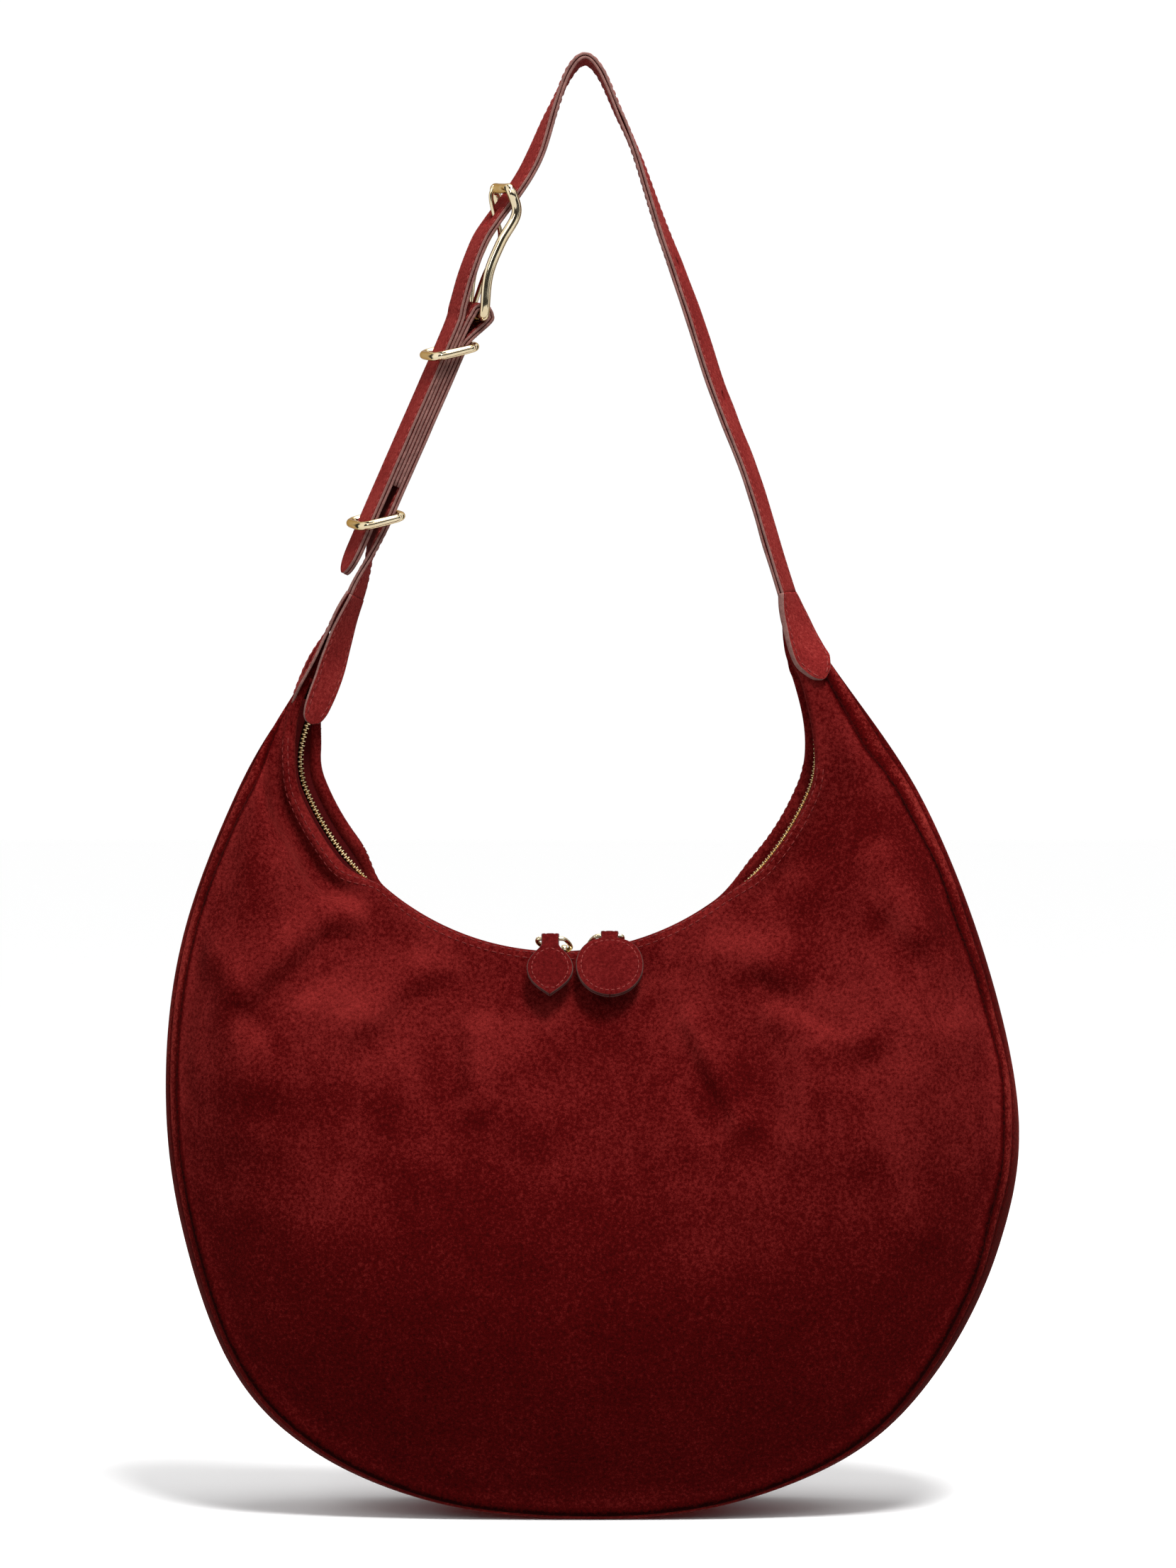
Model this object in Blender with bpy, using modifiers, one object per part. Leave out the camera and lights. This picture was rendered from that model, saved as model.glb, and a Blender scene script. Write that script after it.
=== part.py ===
"""Hobo bag in soft suede: a crescent body closed by a curved two-way zip, and a long shoulder
strap joined by a buckle on its left side. Metres, +Z up, the front faces -Y."""

import math

import bmesh
import bpy
from mathutils import Vector

# ---- driving dimensions -------------------------------------------------------------------
GAP = 0.0003                # clearance between neighbouring solids
WALL = 0.0016               # suede of the panels
LINING_WALL = 0.0008
LINING_OFFSET = 0.0042      # lining's distance inside the suede's face

MOUTH_CENTRE = (-0.018, 0.426)      # centre of the mouth's arc, x and z
MOUTH_RADIUS = 0.137                # to the panels' folded edge
HORN_ANGLE = 84.0                   # the body's ends, from straight down
ARC_ANGLE = 68.0                    # the mouth is a true arc up to here
ZIP_DEPTH = 0.0045                  # the tape lies this far below the folded edge
TOOTH_INNER, TOOTH_OUTER = 0.0006, 0.0034
TOOTH_HEIGHT = 0.0026
TAPE_THICKNESS, TAPE_DROP = 0.0007, 0.0018
HEM_HALF = 0.0065                   # half the visible width between the two hems
SHOULDER = 0.0125                   # half depth of the body just below the mouth

# outer silhouette of the body, from the left horn round the base to the right horn
OUTLINE = [(-0.150, 0.432), (-0.184, 0.373), (-0.2125, 0.297), (-0.2215, 0.223), (-0.214, 0.150),
           (-0.188, 0.075), (-0.146, 0.031), (-0.080, 0.0035), (0.0, -0.0045), (0.072, 0.0035),
           (0.138, 0.031), (0.181, 0.075), (0.2105, 0.135), (0.2212, 0.200), (0.205, 0.282),
           (0.171, 0.368), (0.122, 0.441)]
LEFT_TIP, LEFT_LEAN = (-0.134, 0.426), (-0.153, 0.395)
RIGHT_TIP, RIGHT_LEAN = (0.104, 0.433), (0.1165, 0.395)
BASE_HALF, HORN_HALF = 0.043, 0.0095        # half width of the gusset at the base and the horns
BULGE = 0.041                               # how far the full panels crown at the middle
SEAM_INSET_SIDE, SEAM_INSET_BASE = 0.009, 0.004
STATIONS = 33                               # sections along the body
LINING_STATIONS = 23
MOUTH_DROP = 0.0072                         # the lining starts this far below the hems
PANEL_STEPS = 7                             # points down each panel

STRAP_WIDTH, STRAP_LAYER = 0.025, 0.0015
LAYER_GAP = 0.0004
STRAP_PAIR = 2 * STRAP_LAYER + LAYER_GAP
HINGE = (0.0, 0.0, 0.430)           # the strap falls about the line through here, along X
HOLE_LENGTH, HOLE_WIDTH, HOLE_PITCH = 0.0055, 0.0034, 0.072
ROD = 0.00275                               # radius of the buckle's rod
RING_ROD = 0.0019                           # radius of the keepers' rod
LINK_ROD = 0.0011                           # radius of the zip pullers' rings

# strap: outline of its middle line, x and z, from above the upper keeper over the apex
LONG_STRAP = [(-0.0700, 0.624), (-0.0655, 0.640), (-0.0590, 0.657), (-0.0520, 0.668), (-0.0430, 0.680),
              (-0.0350, 0.692), (-0.0290, 0.704), (-0.0215, 0.724), (-0.0120, 0.745), (-0.0040, 0.7520),
              (0.0040, 0.745), (0.0135, 0.724), (0.0230, 0.702), (0.0345, 0.668), (0.0505, 0.624),
              (0.0650, 0.580), (0.0820, 0.536), (0.0930, 0.500), (0.1010, 0.474)]
LEFT_LEG = ((-0.1126, 0.513), (-0.0720, 0.606))     # the straight between the two keepers
RIGHT_LEG = ((0.0930, 0.500), (0.0505, 0.624))
APEX_X, APEX_Z = -0.004, 0.752
LEG_TURN = 18.0
TURN_DROP = (0.055, 0.150)          # the left and right legs turn fully over this height
ANCHOR_START = [(-0.1235, 0.472), (-0.1165, 0.490)]
LEFT_ROOT = [(-0.1240, 0.4708), (-0.1305, 0.4560), (-0.1385, 0.4350)]
RIGHT_ROOT = [(0.1013, 0.4728), (0.1060, 0.4580), (0.1115, 0.4425)]
STACK = STRAP_PAIR + GAP         # distance between stacked straps
TAIL_LENGTH = 0.134                 # from the upper keeper to the tail's tip
FOLD_BACK = 0.082                   # from the upper keeper to the anchor strap's cut end
KEEPER_TOP, KEEPER_SPACING = -0.0060, 0.0955
KEEPER_HALF = (0.0163, 0.0109)      # half sizes of the keeper ring's middle line
KEEPER_TILT = 38.0                  # the rings hang askew, higher on the arm hole's side
KEEPER_SQUARE = 0.42                # below 1 the oval squares off
BAR = (0.0165, 0.0055)              # the buckle's foot bar, in the left leg's own directions
TOP_BAR = (-0.0473, 0.6846)
BUCKLE_SIDE = [(-0.0585, 0.640), (-0.0520, 0.657), (-0.0440, 0.672)]
BUCKLE_HALF = 0.0163
PRONG_ROD = 0.0013
PRONG = [(-0.0560, 0.640), (-0.0495, 0.653), (-0.0480, 0.662), (-0.0515, 0.672), (-0.0532, 0.680),
         (-0.0522, 0.6862)]
PRONG_CROSSING = (-0.0513, 0.6693)  # where the prong goes through the strap
PRONG_SLOT = 0.0115
PRONG_CUT, PRONG_CUT_HALF = 0.0095, 0.0021      # the anchor strap's slot for the prong
HOLES = [("prong", 0.0), ("first", HOLE_PITCH), ("second", 2 * HOLE_PITCH), ("third", 3 * HOLE_PITCH),
         ("fourth", 4 * HOLE_PITCH)]

SLIDER_ANGLES = {"left": 1.4, "right": 8.2}
SLIDER_HALF, SLIDER_LENGTH, PLATE = 0.0044, 0.0120, 0.0015
BRIDGE_HALF, BRIDGE_RISE, BRIDGE_ROD = 0.0026, 0.0024, 0.0007
STOP_ANGLE, STOP_LENGTH = 82.3, 0.0030
RING_REST = 0.0002                  # height of the ring's wire in the bridge
RING_REACH = (-0.0077, 0.0063)      # from there to the wire in the tag's fold, depth and height
# ring: way round it, out from the slider in metres and from the bridge to the fold as a share
RING_SHAPE = [(-0.0014, 0.0), (0.0, 0.0), (0.0014, 0.0), (0.0070, 0.20), (0.0118, 0.42), (0.0138, 0.70),
              (0.0139, 0.90), (0.0130, 1.0), (0.0090, 1.0), (0.0055, 1.0), (0.0013, 1.0), (-0.0004, 0.92),
              (-0.0024, 0.60), (-0.0034, 0.24)]
TAG_LEATHER, TAG_LOBE_GAP = 0.0013, 0.0005
TAG_KNEE, TAG_TOE = (-0.0180, -0.0010), (-0.0325, -0.0255)
TAG_OFFSET = 0.0073                 # the tags hang this far out from their sliders
TAG_START = 0.10
TAG_NECK, TAG_NECK_HALF = 0.0080, 0.0046
SHIELD_LENGTH, SHIELD_HALF = 0.0370, 0.0120
ROUND_LENGTH, ROUND_RADIUS = 0.0390, 0.0174
SUEDE = ((0.30, 0.018, 0.014), 0.95, 0.0)
SUEDE_DARK = ((0.16, 0.012, 0.012), 0.95, 0.0)
LINING_CLOTH = ((0.22, 0.05, 0.045), 0.9, 0.0)
TAPE_CLOTH = ((0.12, 0.012, 0.014), 0.85, 0.0)
BRASS = ((0.86, 0.69, 0.42), 0.18, 1.0)


# ---- helpers ------------------------------------------------------------------------------
def clear_scene():
    for item in list(bpy.data.objects):
        bpy.data.objects.remove(item, do_unlink=True)


def new_collection(name):
    group = bpy.data.collections.new(name)
    bpy.context.scene.collection.children.link(group)
    return group


def material(name, finish):
    colour, roughness, metallic = finish
    skin = bpy.data.materials.new(name)
    skin.use_nodes = True
    shader = skin.node_tree.nodes["Principled BSDF"]
    shader.inputs["Base Color"].default_value = (*colour, 1.0)
    shader.inputs["Roughness"].default_value = roughness
    shader.inputs["Metallic"].default_value = metallic
    skin.diffuse_color = (*colour, 1.0)
    return skin


def add_object(name, mesh, finish, origin=(0, 0, 0)):
    """Link a mesh given in world coordinates, with the object's origin at the given point."""
    mesh.materials.append(material(name, finish))
    item = bpy.data.objects.new(name, mesh)
    set_origin(item, origin)
    PARTS.objects.link(item)
    return item


def set_origin(item, point):
    """Move an object's origin to a world point, leaving its shape where it is."""
    for corner in item.data.vertices:
        corner.co -= Vector(point)
    item.location = point


def mesh_from(rows, closed=False, split=0):
    """Quads between rows of points, an open sheet or, when closed, a tube along the rows.

    Twisted quads are split: 1 and -1 are the two diagonals."""
    bm = bmesh.new()
    grid = [[bm.verts.new(p) for p in row] for row in rows]
    width = len(rows[0])
    for a, b in zip(grid, grid[1:]):
        for i in range(width if closed else width - 1):
            j = (i + 1) % width
            if split > 0:
                bm.faces.new((a[i], b[i], b[j]))
                bm.faces.new((a[i], b[j], a[j]))
            elif split < 0:
                bm.faces.new((a[i], b[i], a[j]))
                bm.faces.new((b[i], b[j], a[j]))
            else:
                bm.faces.new((a[i], b[i], b[j], a[j]))
    if closed:
        bm.faces.new(grid[0])
        bm.faces.new(list(reversed(grid[-1])))
    bmesh.ops.recalc_face_normals(bm, faces=bm.faces)
    mesh = bpy.data.meshes.new("loft")
    bm.to_mesh(mesh)
    bm.free()
    return mesh


def loft(name, rows, finish, origin=(0, 0, 0), split=0):
    """A solid bar whose closed sections are the rows."""
    mesh = mesh_from(rows, closed=True, split=split)
    mesh.shade_smooth()
    mesh.set_sharp_from_angle(angle=math.radians(35))
    return add_object(name, mesh, finish, origin)


def shell(name, rows, thickness, finish):
    """An open sheet given depth inwards, on the side away from its normals."""
    mesh = mesh_from(rows)
    if normal_faces_in(mesh):
        mesh.flip_normals()
    mesh.shade_smooth()
    item = add_object(name, mesh, finish)
    depth = item.modifiers.new("thickness", "SOLIDIFY")
    depth.thickness = thickness
    depth.offset = -1.0
    depth.use_even_offset = True
    return item


def normal_faces_in(mesh):
    """True when the sheet's faces point at the middle of the body."""
    middle = Vector((0.0, 0.0, 0.16))
    away = sum(face.normal.dot(face.center - middle) * face.area for face in mesh.polygons)
    return away < 0


def catmull(points, steps):
    """A smooth open curve through the points, with the given steps in each span."""
    pts = [Vector(p) for p in points]
    pts = [2 * pts[0] - pts[1], *pts, 2 * pts[-1] - pts[-2]]
    curve = []
    for p0, p1, p2, p3 in zip(pts, pts[1:], pts[2:], pts[3:]):
        for k in range(steps):
            t = k / steps
            curve.append(0.5 * ((2 * p1) + (p2 - p0) * t + (2 * p0 - 5 * p1 + 4 * p2 - p3) * t * t
                                + (3 * p1 - p0 - 3 * p2 + p3) * t ** 3))
    return curve + [pts[-2]]


def at_fraction(curve, fraction):
    """The point at a fraction of a polyline's length."""
    lengths = [(b - a).length for a, b in zip(curve, curve[1:])]
    left = fraction * sum(lengths)
    for a, b, length in zip(curve, curve[1:], lengths):
        if left <= length:
            return a.lerp(b, left / length)
        left -= length
    return curve[-1].copy()


def smooth(low, high, value):
    t = min(max((value - low) / (high - low), 0.0), 1.0)
    return t * t * (3 - 2 * t)


def rod(name, points, radius, finish, closed=False, sides=8, origin=(0, 0, 0), cyclic_up=None):
    """A round wire through the points, joined end to end when closed."""
    pts = [Vector(p) for p in points]
    count = len(pts)
    rows = []
    side = None
    for i, p in enumerate(pts):
        before = pts[i - 1] if (closed or i) else p
        after = pts[(i + 1) % count] if (closed or i + 1 < count) else p
        along = (after - before).normalized()
        side = (cyclic_up or side or Vector((0, 1, 0))).copy()
        side = (side - along * side.dot(along)).normalized()
        across = along.cross(side)
        rows.append([p + radius * (math.cos(a) * side + math.sin(a) * across)
                     for a in (2 * math.pi * k / sides for k in range(sides))])
    if not closed:
        return loft(name, rows, finish, origin)
    bm = bmesh.new()
    grid = [[bm.verts.new(p) for p in row] for row in rows]
    for a, b in zip(grid, grid[1:] + grid[:1]):
        for i in range(sides):
            j = (i + 1) % sides
            bm.faces.new((a[i], b[i], b[j], a[j]))
    bmesh.ops.recalc_face_normals(bm, faces=bm.faces)
    mesh = bpy.data.meshes.new(name)
    bm.to_mesh(mesh)
    bm.free()
    mesh.shade_smooth()
    return add_object(name, mesh, finish, origin)


# ---- the body's sections --------------------------------------------------------------------
OUTER_CURVE = catmull([Vector((x, 0.0, z)) for x, z in OUTLINE], 12)


def mouth_point(angle, radius=MOUTH_RADIUS):
    """A point of the mouth's edge: the arc, then a lean towards the strap at each horn."""
    centre = Vector((MOUTH_CENTRE[0], 0.0, MOUTH_CENTRE[1]))

    def arc(a):
        return centre + radius * Vector((math.sin(math.radians(a)), 0, -math.cos(math.radians(a))))

    if abs(angle) <= ARC_ANGLE:
        return arc(angle)
    tip, lean = (LEFT_TIP, LEFT_LEAN) if angle < 0 else (RIGHT_TIP, RIGHT_LEAN)
    t = (abs(angle) - ARC_ANGLE) / (HORN_ANGLE - ARC_ANGLE)
    start = arc(math.copysign(ARC_ANGLE, angle))
    lean, tip = Vector((lean[0], 0, lean[1])), Vector((tip[0], 0, tip[1]))
    return (1 - t) ** 2 * start + 2 * t * (1 - t) * lean + t * t * tip


class Section:
    """One slice across the body, from the mouth's edge out to the gusset."""

    def __init__(self, angle, shrink=0.0):
        self.floor = shrink
        self.inner = mouth_point(angle)
        outer = at_fraction(OUTER_CURVE, 0.5 + 0.5 * angle / HORN_ANGLE)
        self.out = (outer - self.inner).normalized()
        fullness = smooth(HORN_ANGLE, 12.0, abs(angle))
        self.length = (outer - self.inner).length - shrink
        self.base = HORN_HALF + (BASE_HALF - HORN_HALF) * smooth(HORN_ANGLE, 18.0, abs(angle)) - shrink
        self.shoulder = SHOULDER - shrink
        self.bulge = BULGE * fullness ** 0.8
        inset = SEAM_INSET_BASE + (SEAM_INSET_SIDE - SEAM_INSET_BASE) * smooth(8.0, 40.0, abs(angle))
        self.inset = min(inset, 0.3 * self.length)

    def place(self, out, depth):
        """World point at a distance out from the mouth's edge and a depth along Y."""
        p = self.inner + self.out * out
        p.y = depth
        p.z = max(p.z, self.floor)
        return p

    def panel(self, side, start=0.0):
        """Points down one panel (side -1 is the front), from the hem to the seam."""
        seam = self.length - self.inset
        top = min(0.005, 0.25 * self.length)
        rows = [self.place(0.6 * top + start, side * HEM_HALF),
                self.place(0.15 * top + start, side * (0.6 * HEM_HALF + 0.4 * self.shoulder)),
                self.place(0.45 * top + start, side * (0.99 * self.shoulder))]
        first = top + start
        for k in range(1, PANEL_STEPS + 1):
            t = k / PANEL_STEPS
            depth = self.shoulder + (self.base - self.shoulder) * t
            depth += self.bulge * math.sin(math.pi * t ** 1.2)
            rows.append(self.place(first + (seam - first) * t, side * depth))
        return rows

    def gusset(self, trim=0.0):
        """Points across the gusset, from the front seam to the back seam."""
        half = self.base - trim
        return [self.place(self.length - self.inset * (u * u), u * half) for u in (-1, -0.5, 0, 0.5, 1)]


def angles(count, limit):
    return [-limit + 2 * limit * k / (count - 1) for k in range(count)]


def trimmed(points, length):
    """The polyline without the given length at its last end."""
    last = points[-1] - points[-2]
    return points[:-1] + [points[-1] - last.normalized() * length]


def make_panels():
    for name, side in (("front_panel", -1), ("back_panel", 1)):
        rows = [trimmed(Section(a).panel(side), 2 * GAP) for a in angles(STATIONS, HORN_ANGLE)]
        shell(name, rows, WALL, SUEDE)


def make_gusset():
    rows = [Section(a).gusset(trim=WALL + 3 * GAP) for a in angles(STATIONS, HORN_ANGLE)]
    shell("gusset", rows, WALL, SUEDE_DARK)


def make_lining():
    rows = []
    for a in angles(LINING_STATIONS, ARC_ANGLE):
        slice_ = Section(a, LINING_OFFSET)
        front, back = slice_.panel(-1, start=MOUTH_DROP), slice_.panel(1, start=MOUTH_DROP)
        rows.append(front + slice_.gusset()[1:-1] + back[::-1])
    shell("lining", rows, LINING_WALL, LINING_CLOTH)


def make_pocket():
    """A patch pocket sewn on the back of the lining."""
    rows = []
    for a in angles(LINING_STATIONS, ARC_ANGLE)[8:-8]:
        patch = Section(a, LINING_OFFSET + LINING_WALL + 0.0012).panel(1, start=MOUTH_DROP)
        rows.append(patch[4:8])
    shell("inner_pocket", rows, LINING_WALL, LINING_CLOTH)


# ---- the zip --------------------------------------------------------------------------------
def zip_bar(name, near, far, near_top, far_top, height, finish):
    """A strip along the mouth between two depths along Y, at distances below the mouth's edge."""
    rows = []
    for a in angles(37, STOP_ANGLE - 1.2):
        edge = mouth_point(a)
        along = (mouth_point(a + 0.2) - mouth_point(a - 0.2)).normalized()
        down = Vector((along.z, 0, -along.x))
        rows.append([edge + down * drop + Vector((0, depth, 0)) for drop, depth in
                     ((near_top, near), (far_top, far), (far_top + height, far), (near_top + height, near))])
    loft(name, rows, finish)


def make_zip():
    teeth_top = ZIP_DEPTH - 0.5 * TOOTH_HEIGHT
    tape_top = ZIP_DEPTH - 0.5 * TAPE_THICKNESS
    for name, side in (("front", -1), ("back", 1)):
        zip_bar(f"zip_teeth_{name}", side * TOOTH_INNER, side * TOOTH_OUTER,
                teeth_top, teeth_top, TOOTH_HEIGHT, BRASS)
        zip_bar(f"zip_tape_{name}", side * (TOOTH_OUTER + GAP), side * (SHOULDER - 2.6 * WALL),
                tape_top, tape_top + TAPE_DROP, TAPE_THICKNESS, TAPE_CLOTH)


def along_mouth(angle):
    """Directions at the mouth: along the zip, and up out of the bag."""
    a = math.radians(angle)
    return Vector((math.cos(a), 0, math.sin(a))), Vector((-math.sin(a), 0, math.cos(a)))


def zip_block(name, angle, outline, length):
    """An outline across the zip (depth, height above the mouth's edge), drawn out along it."""
    centre = mouth_point(angle)
    along, up = along_mouth(angle)
    rows = [[centre + along * end + Vector((0, depth, 0)) + up * height for depth, height in outline]
            for end in (-0.5 * length, 0.5 * length)]
    return loft(name, rows, BRASS)


def make_zip_stops():
    top = -(ZIP_DEPTH - 0.5 * TOOTH_HEIGHT)
    outline = [(-TOOTH_OUTER, top), (TOOTH_OUTER, top),
               (TOOTH_OUTER, top - TOOTH_HEIGHT), (-TOOTH_OUTER, top - TOOTH_HEIGHT)]
    for side, angle in (("left", -STOP_ANGLE), ("right", STOP_ANGLE)):
        zip_block(f"zip_stop_{side}", angle, outline, STOP_LENGTH)


def make_slider(side):
    """Two plates joined by a neck between the rows of teeth, and a bridge for the puller."""
    teeth_top = -(ZIP_DEPTH - 0.5 * TOOTH_HEIGHT)
    teeth_foot = teeth_top - TOOTH_HEIGHT
    half, neck = SLIDER_HALF, TOOTH_INNER - GAP
    top, foot = teeth_top + GAP, teeth_foot - GAP
    outline = [(-half, top), (-half, top + PLATE), (half, top + PLATE), (half, top), (neck, top),
               (neck, foot), (half, foot), (half, foot - PLATE), (-half, foot - PLATE),
               (-half, foot), (-neck, foot), (-neck, top)]
    angle = SLIDER_ANGLES[side]
    body = zip_block(f"slider_{side}", angle, outline, SLIDER_LENGTH)
    _, up = along_mouth(angle)
    centre = mouth_point(angle)
    arch = [centre + Vector((0, BRIDGE_HALF * math.cos(a), 0)) + up * (BRIDGE_RISE * math.sin(a))
            for a in (math.pi * k / 8 for k in range(9))]
    foot_drop = up * (top + 0.5 * PLATE)
    arch = [centre + Vector((0, BRIDGE_HALF, 0)) + foot_drop, *arch,
            centre - Vector((0, BRIDGE_HALF, 0)) + foot_drop]
    bridge = rod(f"bridge_{side}", arch, BRIDGE_ROD, BRASS, sides=6, cyclic_up=Vector((1, 0, 0)))
    combine("UNION", bridge, [body])
    set_origin(body, (MOUTH_CENTRE[0], 0.0, MOUTH_CENTRE[1]))


def combine(operation, tool, bodies):
    """Unite a closed solid with each body, or cut it out, and keep it only as a guide."""
    PARTS.objects.unlink(tool)
    CUTTERS.objects.link(tool)
    tool.hide_render = True
    tool.display_type = "WIRE"
    for body in bodies:
        step = body.modifiers.new(operation.lower(), "BOOLEAN")
        step.operation = operation
        step.object = tool


# ---- the pullers ----------------------------------------------------------------------------
def puller_frame(side):
    """The point where a puller's ring passes through its slider's bridge."""
    return mouth_point(SLIDER_ANGLES[side]) + Vector((0, 0, RING_REST))


def make_pull_ring(side):
    near = puller_frame(side)
    reach = Vector((0, RING_REACH[0], RING_REACH[1]))
    out = Vector((1 if side == "right" else -1, 0, 0))
    points = [near + out * x + reach * y for x, y in RING_SHAPE]
    rod(f"pull_ring_{side}", points, LINK_ROD, BRASS, closed=True, origin=near,
        cyclic_up=Vector((1, 0, 0)).cross(reach.normalized()))


def shield_half_width(s):
    """Half width of the pointed tag at a distance down from its fold."""
    if s < TAG_NECK:
        return TAG_NECK_HALF
    t = (s - TAG_NECK) / (SHIELD_LENGTH - TAG_NECK)
    return max(TAG_NECK_HALF * (1 - smooth(0.0, 0.5, t)) + SHIELD_HALF * math.sin(math.pi * t ** 0.9) ** 0.8,
               0.0008)


def round_half_width(s):
    """Half width of the round tag at a distance down from its fold."""
    centre = ROUND_LENGTH - ROUND_RADIUS
    disc = math.sqrt(max(ROUND_RADIUS ** 2 - (s - centre) ** 2, 0.0))
    return max(disc, TAG_NECK_HALF if s < centre else 0.0016)


def make_tag(name, side, offset, length, half_width):
    """A strip of suede folded over the ring: one lobe down the back and one down the front."""
    near = puller_frame(side)
    fold = near + Vector((offset, RING_REACH[0], RING_REACH[1]))
    knee, toe = (near + Vector((offset, y, h)) for y, h in (TAG_KNEE, TAG_TOE))
    middle = catmull([fold, knee, toe], 8)
    total = sum((b - a).length for a, b in zip(middle, middle[1:]))
    apart = 0.5 * TAG_LEATHER + 0.5 * TAG_LOBE_GAP
    wrap = LINK_ROD + GAP + 0.5 * TAG_LEATHER
    steps = 11
    lobes = {1: [], -1: []}
    for k in range(steps):
        s = length * (TAG_START + (1 - TAG_START) * k / (steps - 1))
        p = at_fraction(middle, s / total)
        along = (at_fraction(middle, min(s / total + 0.01, 1.0)) - at_fraction(middle, s / total - 0.01))
        face = along.normalized().cross(Vector((1, 0, 0)))
        for sign in (1, -1):
            lobes[sign].append((p + face * sign * apart, half_width(s)))
    first = (middle[1] - middle[0]).normalized()
    face = first.cross(Vector((1, 0, 0)))
    loop = [(fold + wrap * (math.cos(a) * face - math.sin(a) * first), TAG_NECK_HALF)
            for a in (math.radians(d) for d in (-25, 15, 55, 90, 125, 165, 205))]
    path = lobes[1][::-1] + loop + lobes[-1]
    rows = []
    for i, (p, half) in enumerate(path):
        after, before = path[min(i + 1, len(path) - 1)][0], path[max(i - 1, 0)][0]
        out = (after - before).normalized().cross(Vector((1, 0, 0))) * (0.5 * TAG_LEATHER)
        wide = Vector((half, 0, 0))
        rows.append([p - wide - out, p + wide - out, p + wide + out, p - wide + out])
    loft(name, rows, SUEDE, origin=fold)


# ---- the strap ------------------------------------------------------------------------------
def leg_axes(leg):
    """A leg's straight line: a point on it, its direction, and the way towards the arm hole."""
    low, high = (Vector((x, 0, z)) for x, z in leg)
    along = (high - low).normalized()
    inward = Vector((along.z, 0, -along.x))
    if low.x > 0:
        inward = -inward
    return high, along, inward


def turned(point):
    """Turn the strap's legs a little about their own lines, so their outer faces look forward."""
    leg = LEFT_LEG if point.x < APEX_X else RIGHT_LEG
    base, along, inward = leg_axes(leg)
    offset = point - base
    u, v, y = offset.dot(along), offset.dot(inward), offset.y
    drop = TURN_DROP[0] if leg is LEFT_LEG else TURN_DROP[1]
    angle = math.radians(LEG_TURN) * smooth(APEX_Z, APEX_Z - drop, point.z)
    return base + along * u + inward * (v * math.cos(angle) - y * math.sin(angle)) \
        + Vector((0, v * math.sin(angle) + y * math.cos(angle), 0))


def turn_mesh(item):
    for corner in item.data.vertices:
        corner.co = turned(corner.co)


def layer(name, path, low, high, finish=SUEDE, taper=None, split=1):
    """One layer of the strap: its offsets from the path along the outward normal."""
    rows = []
    for i, p in enumerate(path):
        along = (path[min(i + 1, len(path) - 1)] - path[max(i - 1, 0)]).normalized()
        outward = Vector((-along.z, 0, along.x))
        half = 0.5 * STRAP_WIDTH * (taper(i) if taper else 1.0)
        wide = Vector((0, half, 0))
        rows.append([p + outward * low - wide, p + outward * high - wide,
                     p + outward * high + wide, p + outward * low + wide])
    item = loft(name, rows, finish, split=split)
    turn_mesh(item)
    return item


def strap(name, points, steps, taper=None):
    """Two layers of suede back to back: the face outside, the backing inside."""
    path = catmull([Vector((x, 0, z)) for x, z in points], steps)
    face = layer(f"{name}_face", path, 0.5 * LAYER_GAP, 0.5 * LAYER_GAP + STRAP_LAYER, SUEDE, taper)
    backing = layer(f"{name}_backing", path, -0.5 * LAYER_GAP - STRAP_LAYER, -0.5 * LAYER_GAP,
                    SUEDE_DARK, taper, split=-1)
    return path, face, backing


def leg_point(u, v):
    """A point on the left leg: u up from the upper keeper, v towards the arm hole."""
    base, along, inward = leg_axes(LEFT_LEG)
    p = base + along * u + inward * v
    return (p.x, p.z)


def bar_point():
    x, z = leg_point(*BAR)
    return Vector((x, 0, z))


def make_long_strap():
    tail = [leg_point(-u, -STACK) for u in (TAIL_LENGTH, TAIL_LENGTH - 0.008, 0.105, 0.05, -0.004)]
    points = tail + LONG_STRAP
    path, face, backing = strap("long_strap", points, 2,
                                taper=lambda i: min(0.16 + 0.28 * i, 1.0))
    for k, (name, length) in enumerate(HOLES):
        near, after = hole_place(path, length)
        punch(f"punch_{name}", near, after, PRONG_SLOT if k == 0 else HOLE_LENGTH, (face, backing))
    set_origin(face, HINGE)
    set_origin(backing, HINGE)


def hole_place(path, distance):
    """The point at a distance up the strap from the prong's hole, and one just beyond it."""
    total = sum((b - a).length for a, b in zip(path, path[1:]))
    crossing = Vector((PRONG_CROSSING[0], 0, PRONG_CROSSING[1]))
    marks = [k / 2000 for k in range(2001)]
    prong = min(marks, key=lambda mark: (at_fraction(path, mark) - crossing).length)
    start = prong + distance / total
    return at_fraction(path, start), at_fraction(path, start + 0.001 / total)


def punch(name, near, after, length, layers):
    """Punch one slot through both layers."""
    along = (after - near).normalized()
    outward = Vector((-along.z, 0, along.x))
    outline = [(length * 0.5 * x, HOLE_WIDTH * 0.5 * y) for x, y in
               ((-1, -0.45), (-0.7, -1), (0.7, -1), (1, -0.45), (1, 0.45), (0.7, 1), (-0.7, 1), (-1, 0.45))]
    rows = [[near + along * u + Vector((0, y, 0)) + outward * depth for u, y in outline]
            for depth in (-0.006, 0.006)]
    cutter = loft(name, rows, BRASS)
    turn_mesh(cutter)
    combine("DIFFERENCE", cutter, layers)


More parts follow.
